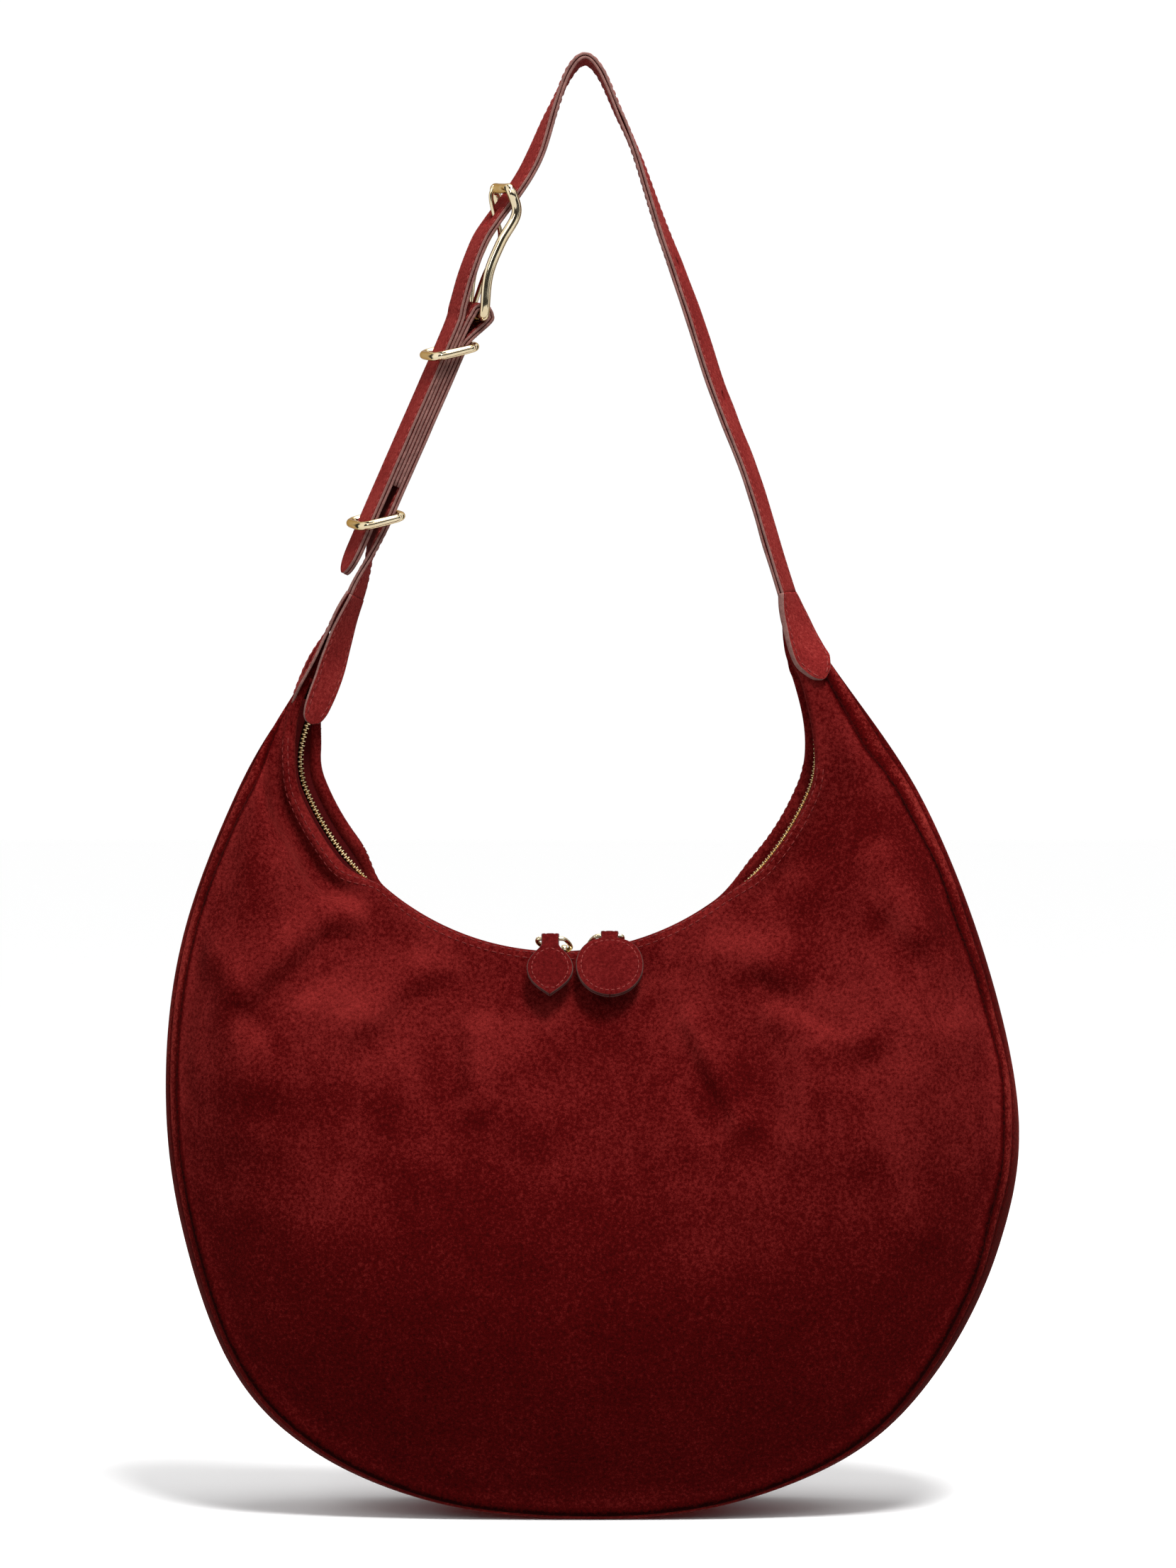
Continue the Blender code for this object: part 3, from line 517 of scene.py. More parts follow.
HEM_THREADS = thread_skin("hem_thread", (0.085, 0.0060, 0.0056), (0.19, 0.0230, 0.0200))


# ---- the body's sections --------------------------------------------------------------------
def mouth(angle):
    """The mouth's edge at angles from straight down: an arc, then a lean at each horn."""
    a = np.atleast_1d(np.asarray(angle, float))
    r = np.radians(np.clip(a, -ARC_ANGLE, ARC_ANGLE))
    arc = np.stack([MOUTH_CENTRE[0] + MOUTH_RADIUS * np.sin(r),
                    MOUTH_CENTRE[1] - MOUTH_RADIUS * np.cos(r)], axis=-1)
    t = np.clip((np.abs(a) - ARC_ANGLE) / (HORN_ANGLE - ARC_ANGLE), 0, 1)[:, None]
    left = a[:, None] < 0
    lean = np.where(left, LEFT_LEAN, RIGHT_LEAN)
    tip = np.where(left, LEFT_TIP, RIGHT_TIP)
    return (1 - t) ** 2 * arc + 2 * t * (1 - t) * lean + t * t * tip


def mouth_way(angle):
    """The direction of the mouth's edge."""
    return unit(mouth(angle + 0.3) - mouth(angle - 0.3))


OUTER = spline(OUTLINE, 12)


class Body:
    """Sections across the body at many angles, from the mouth's edge out to the gusset."""

    def __init__(self, angle, shrink=0.0):
        self.angle = np.atleast_1d(np.asarray(angle, float))
        wide = np.abs(self.angle)
        self.floor = shrink
        self.inner = mouth(self.angle)
        share = (0.5 + 0.5 * self.angle / HORN_ANGLE) * lengths(OUTER)[-1]
        outer = along_line(OUTER, share)
        self.out = unit(outer - self.inner)
        self.length = np.linalg.norm(outer - self.inner, axis=1) - shrink
        grown = smooth(HORN_ANGLE, 18.0, wide)
        self.base = HORN_HALF + (BASE_HALF - HORN_HALF) * grown - shrink
        self.shoulder = SHOULDER - shrink
        self.bulge = BULGE * smooth(HORN_ANGLE, 12.0, wide) ** 0.8
        inset = SEAM_INSET_BASE + (SEAM_INSET_SIDE - SEAM_INSET_BASE) * smooth(8.0, 40.0, wide)
        wander = 0.0009 * np.sin(0.35 * self.angle) + 0.0006 * np.sin(0.83 * self.angle + 1.0)
        inset = inset + (0.0012 + wander) * smooth(22.0, 44.0, self.angle)
        self.inset = np.minimum(inset, 0.36 * self.length)

    def place(self, out, depth):
        """World points at distances out from the mouth's edge and depths along Y."""
        out, depth = twist(self.angle[:, None], out, depth)
        narrow = smooth(-73.0, -84.0, self.angle)[:, None]
        rest = np.clip(1 - out / self.length[:, None], 0, 1.5)
        out = out + HORN_LEAN * narrow * rest
        depth = depth * (1 - 0.35 * narrow)
        x = self.inner[:, :1] + self.out[:, :1] * out
        z = self.inner[:, 1:] + self.out[:, 1:] * out
        return np.stack([x, depth, np.maximum(z, self.floor)], axis=-1)

    def panel(self, side, start=0.0, steps=26, inside=0.0, roll=True):
        """Rows of points down one panel (side -1 is the front), from the hem to the seam."""
        one = np.ones_like(self.length)
        seam = self.length - self.inset
        top = np.minimum(0.005, 0.25 * self.length)
        hem = HEM_HALF - HEM_NARROWING * (side < 0) * smooth(-30.0, -42.0, self.angle)
        rows = [(0.6 * top + start, hem),
                (0.15 * top + start, 0.6 * hem + 0.4 * self.shoulder),
                (0.45 * top + start, 0.99 * self.shoulder * one)]
        if inside:
            rows.insert(0, (0.6 * top + start + inside, hem - 0.0006))
        first = top + start
        for k in range(1, steps + 1):
            t = k / steps
            depth = self.shoulder + (self.base - self.shoulder) * t
            depth = depth + self.bulge * math.sin(math.pi * t ** 1.2)
            left = (1 - t) * (seam - first)
            if roll:
                depth = depth + SEAM_ROLL * np.exp(-(left / 0.006) ** 2)
            rows.append((first + (seam - first) * t, depth))
        if roll:
            rows.append((seam + 0.0007, self.base + 0.0001))
            rows.append((seam + 0.0002, self.base - 0.0022))
        out = np.stack([r[0] for r in rows])
        depth = np.stack([r[1] for r in rows])
        fine = spline(np.stack([out, depth], axis=-1), 4)
        return fine[..., 0].T, side * fine[..., 1].T

    def gusset(self, steps=64):
        """Rows of points across the gusset, from the front seam to the back seam."""
        u = np.linspace(-1, 1, steps + 1)[None]
        width = np.sqrt(self.base ** 2 + self.inset ** 2)[:, None]
        from_seam = (1 - np.abs(u)) * width
        out = self.length[:, None] - self.inset[:, None] * u ** 2
        raised = 0.0014 * np.exp(-((from_seam - WELT_RIDGE) / 0.0020) ** 2)
        raised = raised - 0.0010 * np.exp(-((from_seam - WELT_GROOVE) / 0.0012) ** 2)
        dip = SEAM_DIP * (1 - smooth(0.0, 0.0030, from_seam))
        calm = smooth(0.010, 0.022, self.length) * smooth(0.0, 0.006, self.base - 0.006)
        return out + (raised - dip) * calm[:, None], u * (self.base[:, None] - 0.0007)


def twist(angle, out, depth):
    """The horns turn about the zip, so that the mouth looks forward at the left."""
    full = (TWIST_LEFT * smooth(-41.0, -53.0, angle)
            + TWIST_RIGHT * smooth(36.0, 50.0, angle) * (1 - 0.6 * smooth(66.0, 80.0, angle)))
    turn = np.radians(full * (1 - smooth(0.004, 0.032, out)))
    level = out - ZIP_DEPTH
    return (ZIP_DEPTH + level * np.cos(turn) - depth * np.sin(turn),
            depth * np.cos(turn) + level * np.sin(turn))


# soft folds of the front: from x, z to x, z, then width and height (grooves are negative)
FOLDS = [(-0.128, 0.309, -0.176, 0.272, 0.012, 0.0042), (-0.136, 0.292, -0.172, 0.258, 0.011, -0.0046),
         (-0.182, 0.262, -0.172, 0.200, 0.013, 0.0022), (-0.150, 0.258, -0.160, 0.225, 0.013, 0.0024),
         (-0.080, 0.284, -0.112, 0.256, 0.012, 0.0030), (-0.092, 0.262, -0.118, 0.238, 0.011, -0.0026),
         (-0.077, 0.246, -0.074, 0.218, 0.009, -0.0030), (-0.062, 0.246, -0.060, 0.212, 0.010, 0.0030),
         (-0.046, 0.226, -0.030, 0.200, 0.014, 0.0022), (0.036, 0.256, 0.060, 0.206, 0.009, -0.0040),
         (0.050, 0.250, 0.076, 0.204, 0.010, 0.0034), (0.066, 0.290, 0.096, 0.280, 0.014, 0.0026),
         (0.086, 0.270, 0.124, 0.254, 0.009, -0.0034), (0.096, 0.258, 0.136, 0.246, 0.010, 0.0030),
         (0.150, 0.300, 0.178, 0.262, 0.009, -0.0030), (0.160, 0.222, 0.166, 0.150, 0.014, 0.0020),
         (0.112, 0.236, 0.106, 0.196, 0.012, 0.0022), (-0.168, 0.330, -0.188, 0.286, 0.012, 0.0022),
         (-0.128, 0.206, -0.142, 0.166, 0.016, -0.0016), (0.150, 0.335, 0.166, 0.300, 0.010, 0.0022)]


def folds(points, mirror):
    """How far the panel stands out at each point, in metres."""
    x, z = points[..., 0], points[..., 2]
    if mirror:
        x = -x
        z = z - BACK_FOLD_RISE
    height = np.zeros_like(x)
    for x0, z0, x1, z1, width, amount in FOLDS:
        dx, dz = x1 - x0, z1 - z0
        t = np.clip(((x - x0) * dx + (z - z0) * dz) / (dx * dx + dz * dz), 0, 1)
        gap = np.hypot(x - x0 - t * dx, z - z0 - t * dz)
        height += FOLD_SCALE * amount * np.exp(-(gap / width) ** 2)
    return height


def facing(grid, side):
    """Normals of a panel, pointing away from the bag."""
    normals = grid_normals(grid)
    return np.where(normals[..., 1:2] * side < 0, -normals, normals)


def wrinkled(grid, side, from_hem, from_seam):
    """Add the suede's soft folds to a panel."""
    mask = smooth(0.006, 0.028, from_hem) * smooth(0.001, 0.022, from_seam)
    normals = facing(grid, side)
    upper = 0.35 + 0.65 * smooth(0.10, 0.24, grid[..., 2])
    height = folds(grid, side > 0)
    for amount, seed, wavelength in ((0.0020, 11, 0.075), (0.0010, 21, 0.032)):
        height += upper * amount * waves(grid, seed + side, wavelength, stretch=(1.0, 0.6, 0.8))
    height += 0.0009 * np.exp(-(from_seam / 0.018) ** 2) * waves(grid, 31 + side, 0.030)
    height = np.where(height < 0, -DEEPEST_FOLD * np.tanh(-height / DEEPEST_FOLD), height)
    return grid + normals * (height * mask)[..., None], height * mask


def nap_tone_and_painted_light(grid, seed, height=0.0):
    """The nap's tone with painted light and shade: brushed patches of nap, a painted highlight on the
    folds' ridges, and painted shade low on the body, lighter higher up.
    """
    brushed = 0.045 * waves(grid, seed, 0.090, stretch=(0.8, 1, 1.3))
    brushed += 0.022 * waves(grid, seed + 1, 0.036)
    level = grid[..., 2] + 0.030 * waves(grid, seed + 2, 0.120)
    upper = smooth(0.10, 0.25, level)
    # painted light and shade: the upper body painted lighter, the lower body darker, and raised folds
    # lighter by their height
    return (0.35 + 0.65 * upper) * brushed + 0.19 * upper - 0.07 + 6.0 * height


def nap_calm(grid):
    """Where the nap lies evenly: the lower body, 0 to 1."""
    return 0.72 * (1 - smooth(0.09, 0.25, grid[..., 2]))


def make_panels():
    """Both panels and the gusset; gives the panels' points, which the stitching follows."""
    body = Body(np.linspace(-HORN_ANGLE, HORN_ANGLE, STATIONS))
    rims = {}
    for name, side in (("front", -1), ("back", 1)):
        out, depth = body.panel(side, inside=0.0045)
        grid = body.place(out, depth)
        from_hem = np.maximum(out, 0)
        from_seam = np.maximum((body.length - body.inset)[:, None] - out, 0)
        grid, height = wrinkled(grid, side, from_hem, from_seam)
        # Painted light and shade in the nap's colour: slopes facing up painted lighter and slopes facing
        # down darker, a painted highlight where the panel swells up to the seam, a little lighter along
        # the hem, and painted shade in the seam's groove.
        slope = np.gradient(height, axis=1) / np.maximum(np.gradient(out, axis=1), 0.0008)
        nap_and_painted_light = nap_tone_and_painted_light(grid, 40 + side, height) + np.clip(0.42 * slope, -0.12, 0.10)
        nap_and_painted_light = nap_and_painted_light + 0.07 * np.exp(-((from_seam - 0.004) / 0.006) ** 2)
        nap_and_painted_light = nap_and_painted_light + 0.04 * np.exp(-(out / 0.006) ** 2)
        nap_and_painted_light = nap_and_painted_light - 0.50 * np.exp(-(from_seam / 0.0017) ** 2)
        values = {"nap_and_painted_light": nap_and_painted_light, "calm": nap_calm(grid)}
        item = sheet_object(f"{name}_panel_suede", grid, BODY, WALL, values, flip=side < 0)
        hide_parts(f"{name}_panel")
        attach(item, "bag")
        rims[name] = grid
    out, depth = body.gusset()
    grid = body.place(out, depth)
    width = np.sqrt(body.base ** 2 + body.inset ** 2)[:, None]
    from_seam = (1 - np.abs(depth) / body.base[:, None]) * width
    # Painted light and shade on the gusset: painted shade along its seams and in the welt's groove, a
    # painted highlight on the welt's ridge, and painted shade over the whole gusset, deeper in a band
    # beside the welt.
    nap_and_painted_light = nap_tone_and_painted_light(grid, 60) - 0.50 * np.exp(-(from_seam / 0.0030) ** 2)
    nap_and_painted_light = nap_and_painted_light + 0.10 * np.exp(-((from_seam - WELT_RIDGE) / 0.0022) ** 2)
    nap_and_painted_light = nap_and_painted_light - 0.26 * np.exp(-((from_seam - WELT_GROOVE) / 0.0012) ** 2)
    nap_and_painted_light = nap_and_painted_light - 0.05 - 0.12 * smooth(0.0090, 0.0125, from_seam) * (1 - smooth(0.016, 0.030, from_seam))
    values = {"nap_and_painted_light": nap_and_painted_light, "calm": nap_calm(grid)}
    item = sheet_object("gusset_suede", grid, GUSSET_PAINTED_RIM_LIGHT, WALL, values, flip=True)
    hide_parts("gusset")
    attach(item, "bag")
    return rims


def make_hem_stitches(rims):
    """Two rows of stitching below each hem."""
    for name, grid in rims.items():
        rows = Stitches()
        normals = facing(grid, -1 if name == "front" else 1)
        for distance in HEM_ROWS:
            path, ups = [], []
            for i in range(10, len(grid) - 20):
                column = grid[i, 8:60]
                fall = lengths(column)
                path.append(along_line(column, distance + 0.0015))
                ups.append([np.interp(distance + 0.0015, fall, normals[i, 8:60, axis])
                            for axis in range(3)])
            rows.row(np.array(path), unit(np.array(ups)))
        item = rows.build(f"{name}_hem_stitching", HEM_THREADS)
        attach(item, "bag")


def close_ring(angle):
    """One loop round the body's section: front panel, gusset and back panel."""
    body = Body([angle])
    parts = []
    for out, depth in (body.panel(-1, steps=12), body.gusset(16), body.panel(1, steps=12)):
        parts.append(body.place(out, depth)[0])
    return np.concatenate([parts[0], parts[1], parts[2][::-1]])


def make_horn_tips():
    """The horns' points, which taper along the strap's ends and bend with them."""
    for name, angle, path, share in (
            ("left", -HORN_ANGLE + 0.6, [(-0.1442, -0.002, 0.4370), (-0.1406, -0.001, 0.4475),
                                         (-0.1374, -0.001, 0.4560)], (1.0, 0.76, 0.36, 0.10)),
            ("right", HORN_ANGLE - 0.6, [(0.1066, 0.0, 0.4415), (0.1022, 0.001, 0.4520),
                                         (0.0985, 0.001, 0.4650)], (1.0, 0.56, 0.34, 0.05))):
        ring = close_ring(angle)
        middle = ring.mean(axis=0)
        line = spline([middle] + path, 6)
        scale = np.interp(np.linspace(0, 1, len(line)), np.linspace(0, 1, len(share)), share)
        depth_scale = np.clip(scale * 0.9 + 0.05, 0.05, 1.0)
        shrink = np.stack([scale, depth_scale * scale ** 0.3, scale], axis=-1)
        rings = line[:, None] + (ring - middle)[None] * shrink[:, None]
        rings += 0.0004 * waves(rings, 70, 0.012)[..., None]
        # the horn tips carry the body's painted light: lighter, as high on the body
        item = tube_object(f"horn_tip_{name}", rings, BODY, {"nap_and_painted_light": nap_tone_and_painted_light(rings, 71)}, caps=False)
        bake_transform(item)


def make_inside():
    """The lining, sewn in below the hems, and the patch pocket on its back."""
    body = Body(np.linspace(-ARC_ANGLE, ARC_ANGLE, 121), LINING_OFFSET)
    front = body.place(*body.panel(-1, start=MOUTH_DROP, steps=16, roll=False))
    back = body.place(*body.panel(1, start=MOUTH_DROP, steps=16, roll=False))
    u = np.linspace(-1, 1, 19)[None, 1:-1]
    out = body.length[:, None] - body.inset[:, None] * u ** 2
    base = body.place(out, u * body.base[:, None])
    grid = np.concatenate([front, base, back[:, ::-1]], axis=1)
    crease = 0.0009 * waves(grid, 81, 0.030) * smooth(0, 6, np.arange(grid.shape[1]))[None]
    grid = grid - grid_normals(grid) * np.abs(crease)[..., None] * 0.25
    item = sheet_object("lining_fabric", grid, LINING, LINING_WALL, even=False)
    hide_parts("lining")
    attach(item, "bag")
    patch = Body(np.linspace(-18.6, 18.6, 61), LINING_OFFSET + LINING_WALL + 0.0012)
    out, depth = patch.panel(1, start=MOUTH_DROP, steps=7, roll=False)
    grid = patch.place(out, depth)[:, 16:29]
    grid = spline(np.moveaxis(grid, 1, 0), 3)
    item = sheet_object("inner_pocket_fabric", grid, LINING, LINING_WALL, even=False)
    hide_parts("inner_pocket")
    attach(item, "bag")


# ---- the zip --------------------------------------------------------------------------------
def zip_place(angle, drop, depth):
    """World points of the zip at angles, at distances below the mouth's edge and depths."""
    angle = np.asarray(angle, float)
    edge = mouth(angle)
    along = mouth_way(angle)
    down = np.stack([along[:, 1], -along[:, 0]], axis=-1)
    drop, depth = np.broadcast_arrays(drop, depth)
    drop, depth = twist(angle.reshape(angle.shape + (1,) * (drop.ndim - 1)), drop, depth)
    shape = (len(angle),) + (1,) * (drop.ndim - 1)
    x = edge[:, 0].reshape(shape) + down[:, 0].reshape(shape) * drop
    z = edge[:, 1].reshape(shape) + down[:, 1].reshape(shape) * drop
    return np.stack([x, depth + 0 * x, z], axis=-1)


def make_tapes():
    """The woven tapes, each with the cord that its teeth grip."""
    angle = np.linspace(-STOP_ANGLE + 1.2, STOP_ANGLE - 1.2, 240)
    for name, side in (("front", -1), ("back", 1)):
        share = np.linspace(0, 1, 11)[None]
        depth = side * (TAPE_INNER + (TAPE_OUTER - TAPE_INNER) * share) + 0 * angle[:, None]
        drop = ZIP_DEPTH + 0.0018 * share ** 1.5 + 0.0004 * np.sin(share * 6.0) + 0 * angle[:, None]
        grid = zip_place(angle, drop, depth)
        item = sheet_object(f"zip_tape_{name}_weave", grid, TAPE, TAPE_THICK)
        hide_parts(f"zip_tape_{name}")
        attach(item, "bag")
        line = zip_place(angle, ZIP_DEPTH + 0.0001, side * np.full((len(angle), 1), 0.0023))[:, 0]
        item = tube_object(f"zip_cord_{name}", rod_rings(line, 0.00045, 8), TAPE)
        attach(item, "bag")


def make_teeth():
    """Each tooth is a small moulded block with a waisted neck and a cupped head."""
    line = np.linspace(-STOP_ANGLE + 1.6, STOP_ANGLE - 1.6, 4000)
    at = lengths(mouth(line))
    for name, side, shift in (("front", -1, 0.0), ("back", 1, 0.5)):
        count = int(at[-1] / TOOTH_PITCH) - 1
        places = (np.arange(count) + 0.5 + shift) * TOOTH_PITCH
        angle = np.interp(places, at, line)
        # sections of a tooth across the zip: place, half width along the zip, height
        across = np.array([0.0015, 0.0012, 0.0008, 0.0002, -0.0003, -0.0006]) * side
        half = np.array([0.00052, 0.00046, 0.00034, 0.00046, 0.00052, 0.00036])
        high = np.array([0.0010, 0.0012, 0.00105, 0.0012, 0.0011, 0.0006])
        along = mouth_way(angle)
        centres = zip_place(angle, ZIP_DEPTH - 0.0002 + np.zeros((count, 1)), across[None])
        above = zip_place(angle, ZIP_DEPTH - 0.0012 + np.zeros((count, 1)), across[None])
        up = unit(above - centres)
        way = np.stack([along[:, 0], 0 * along[:, 0], along[:, 1]], axis=-1)[:, None]
        corners = [(-1, -1), (-1, 0.55), (-0.6, 1), (0.6, 1), (1, 0.55), (1, -1)]
        ring = np.stack([centres + way * (a * half)[None, :, None] + up * (b * high)[None, :, None]
                         for a, b in corners], axis=2)
        faces = [face for i in range(count) for face in bar_faces(6, 6, first=i * 36)]
        item = new_object(f"zip_teeth_{name}_brass", ring, faces, ZIP_METAL)
        face_outwards(item)
        item.data.set_sharp_from_angle(angle=math.radians(40))
        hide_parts(f"zip_teeth_{name}")
        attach(item, "bag")


def make_stops():
    """The rounded metal blocks that end the zip."""
    for name, angle in (("left", -STOP_ANGLE), ("right", STOP_ANGLE)):
        angles = np.linspace(angle - STOP_SPAN, angle + STOP_SPAN, 7)
        wide, high = squared(circle(16), 0.6)
        depth = STOP_HALF_WIDTH * wide
        drop = ZIP_DEPTH + STOP_HALF_HEIGHT * high
        swell = np.array([0.75, 0.93, 1.0, 1.0, 1.0, 0.93, 0.75])[:, None]
        rings = zip_place(angles, ZIP_DEPTH + (drop[None] - ZIP_DEPTH) * swell, depth[None] * swell)
        item = tube_object(f"zip_stop_{name}_brass", rings, METAL)
        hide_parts(f"zip_stop_{name}")
        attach(item, "bag")


def metal_rod(name, path, radius, up, closed=True, sides=16):
    """A polished rod along a path, standing for the CAD node of its name."""
    item = tube_object(f"{name}_brass", rod_rings(path, radius, sides, closed, up), METAL, closed=closed)
    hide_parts(name)
    return item


def closed_curve(points, steps, passes):
    """A smooth closed curve near the points."""
    pts = np.array(points, float)
    count = len(pts)
    curve = spline(np.concatenate([pts[-3:], pts, pts[:4]]), steps)
    curve = curve[3 * steps:(3 + count) * steps]
    for _ in range(passes):
        curve = 0.5 * curve + 0.25 * (np.roll(curve, 1, axis=0) + np.roll(curve, -1, axis=0))
    return curve


def make_buckle():
    """The long curved frame on the strap, and the prong hooked round its lower bar."""
    foot, head = flat(leg_point(*BAR)), flat(TOP_BAR)
    side = spline([foot] + [flat(p) for p in BUCKLE_SIDE] + [head], 5)[1:-1]
    half = np.array([0.0, BUCKLE_HALF, 0.0])
    loop = [p - half for p in side] + [head + share * half for share in (-0.86, -0.4, 0.4, 0.86)]
    loop += [p + half for p in side[::-1]] + [foot + share * half for share in (0.9, 0.4, -0.4, -0.9)]
    path = turned(closed_curve(loop, 6, 3))
    _, along, inward = leg_axes(LEFT_LEG)
    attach(metal_rod("buckle_frame", path, BUCKLE_ROD, inward), "strap")
    hook = ROD + GAP + PRONG_ROD
    ring = [foot + hook * (math.cos(a) * -inward + math.sin(a) * along)
            for a in map(math.radians, (-150, -110, -70, -30, 0, 45))]
    path = spline(ring + [flat(p) for p in PRONG], 8)
    share = np.linspace(0, 1, len(path))
    taper = 1.15 - 0.25 * share - 0.45 * smooth(0.93, 1.0, share)
    prong = metal_rod("buckle_prong", turned(path), PRONG_ROD * taper, ACROSS, closed=False)
    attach(prong, "prong")


def make_keepers():
    """Two squarish rings that hang askew round the strap."""
    _, along, inward = leg_axes(LEFT_LEG)
    wide, thick = (half + KEEPER_WIRE - RING_ROD for half in KEEPER_HALF)
    across, deep = squared(circle(72), KEEPER_SQUARE)
    tilt = math.radians(KEEPER_TILT)
    askew = inward * math.cos(tilt) + along * math.sin(tilt)
    upright = along * math.cos(tilt) - inward * math.sin(tilt)
    for name, u in (("upper", KEEPER_TOP), ("lower", KEEPER_TOP - KEEPER_SPACING)):
        centre = flat(leg_point(u, 0.0))
        loop = centre + (across * wide)[:, None] * ACROSS + (deep * thick)[:, None] * askew
        loop = closed_curve(loop[::3], 6, 4)
        item = metal_rod(f"keeper_{name}", turned(loop), KEEPER_WIRE, upright)
        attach(item, f"keeper_{name}")


def ring_place(side):
    """Where a pull ring hangs on its slider."""
    x, z = mouth([SLIDER_ANGLES[side]])[0]
    return flat((x, z + RING_REST))


def make_pull_rings():
    """The wire loops that hang from the sliders and carry the tags."""
    for side in ("left", "right"):
        near = ring_place(side)
        reach = np.array([0.0, *RING_REACH])
        out = SIDEWAYS if side == "right" else -SIDEWAYS
        loop = closed_curve([near + out * x + reach * y for x, y in RING_SHAPE], 6, 2)
        item = metal_rod(f"pull_ring_{side}", loop, LINK_ROD, np.cross(SIDEWAYS, unit(reach)), sides=12)
        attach(item, f"ring_{side}")


def soft_block(name, sections, skin):
    """A moulded block through sections of equal size, with its edges rounded."""
    item = tube_object(name, np.array(sections), skin)
    soft = item.modifiers.new("soft_edges", "BEVEL")
    soft.width = 0.0004
    soft.segments = 3
    soft.limit_method = "ANGLE"
    soft.angle_limit = math.radians(35)
    apply_modifiers(item)
    item.data.shade_smooth()
    return item


def join_objects(name, items):
    """Several meshes as one object."""
    bm = bmesh.new()
    for item in items:
        bm.from_mesh(item.data)
    mesh = bpy.data.meshes.new(name)
    bm.to_mesh(mesh)
    bm.free()
    mesh.materials.append(items[0].data.materials[0])
    mesh.shade_smooth()
    for item in items:
        bpy.data.objects.remove(item)
    joined = bpy.data.objects.new(name, mesh)
    bpy.context.scene.collection.objects.link(joined)
    return joined


def make_sliders():
    """Two shaped plates, the post between them, and the arched bridge that holds the ring."""
    for side, angle in SLIDER_ANGLES.items():
        centre = flat(mouth([angle])[0])
        a = math.radians(angle)
        along, up = np.array([math.cos(a), 0, math.sin(a)]), np.array([-math.sin(a), 0, math.cos(a)])
        ahead = along * (1 if side == "right" else -1)
        top = -(ZIP_DEPTH - 0.5 * TOOTH_HEIGHT) + GAP
        foot = top - TOOTH_HEIGHT - 2 * GAP
        stations = np.array([-0.0060, -0.0052, -0.0030, 0.0, 0.0030, 0.0052, 0.0060])
        halves = np.array([0.0030, 0.0036, 0.0038, 0.0040, 0.0044, 0.0044, 0.0036])
        parts = []
        for low, high in ((top, top + PLATE), (foot - PLATE, foot)):
            rows = []
            for s, h in zip(stations, halves):
                outline = ((-h, low), (h, low), (h, high - 0.0003), (0.6 * h, high), (-0.6 * h, high),
                           (-h, high - 0.0003))
                rows.append([centre + ahead * s + ACROSS * y + up * v for y, v in outline])
            parts.append(soft_block("plate", rows, METAL))
        post = [[centre + ahead * s + ACROSS * y + up * v for y, v in
                 ((-0.0003, foot), (0.0003, foot), (0.0003, top), (-0.0003, top))]
                for s in (0.0010, 0.0055)]
        parts.append(tube_object("post", np.array(post), METAL))
        turn = np.linspace(0, np.pi, 15)
        arch = [centre + ACROSS * BRIDGE_HALF * math.cos(t) + up * BRIDGE_RISE * math.sin(t)
                for t in turn]
        drop = up * (top + 0.5 * PLATE)
        arch = [centre + ACROSS * BRIDGE_HALF + drop] + arch + [centre - ACROSS * BRIDGE_HALF + drop]
        rings = rod_rings(np.array(arch), BRIDGE_ROD, 12, up=along)
        middle = rings.mean(axis=1, keepdims=True)
        rings = middle + (rings - middle) * (1 + 1.3 * np.abs(along))
        parts.append(tube_object("bridge", rings, METAL))
        item = join_objects(f"slider_{side}_brass", parts)
        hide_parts(f"slider_{side}")
        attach(item, f"slider_{side}")


# ---- strips of suede ------------------------------------------------------------------------
EDGE_STEPS = (0.0006, 0.0015, 0.0024, 0.0033, 0.0055, 0.0085)


def strip_rings(centre, wide, up, half, low, high):
    """Closed sections of a strip with rounded edges and a shallow groove along its stitching."""
    half = np.broadcast_to(half, (len(centre),)).astype(float)
    thick = high - low
    steps = [np.maximum(half - step, 0.02 * half * (7 - k)) for k, step in enumerate(EDGE_STEPS)]
    steps = np.minimum.accumulate(np.array(steps), axis=0)
    across = np.concatenate([-steps, 0 * steps[:1], steps[::-1]])
    groove = -0.00022 * np.array([0, 0, 1, 0, 0, 0, 0, 0, 0, 0, 1, 0, 0])
    crown = np.array([0, 0.6, 0.8, 0.9, 1, 1, 1, 1, 1, 0.9, 0.8, 0.6, 0]) * 0.00012
    turn = np.radians([62, 32, 0, -32, -62])
    rounding = [(steps[0] + (half - steps[0]) * np.cos(a), low + 0.5 * thick * (1 + np.sin(a)), 1.0)
                for a in turn]
    rows = [(across[k], high + groove[k] + crown[k], 0.0) for k in range(13)] + rounding
    rows += [(across[k], low - groove[k] - crown[k], 0.0) for k in reversed(range(13))]
    rows += [(-u, v, edge) for u, v, edge in rounding[::-1]]
    rings = np.stack([centre + wide * np.broadcast_to(u, half.shape)[:, None]
                      + up * np.broadcast_to(v, half.shape)[:, None] for u, v, _ in rows], axis=1)
    edge = np.broadcast_to(np.array([e for _, _, e in rows]), rings.shape[:2])
    return rings, edge


def strip(name, rings, edge, skin, seed):
    """A strip of suede, slightly uneven."""
    rings = rings + 0.00012 * waves(rings, seed, 0.020)[..., None]
    return tube_object(name, rings, skin, {"edge": edge, "nap_and_painted_light": 0.06 * waves(rings, seed + 1, 0.030)})


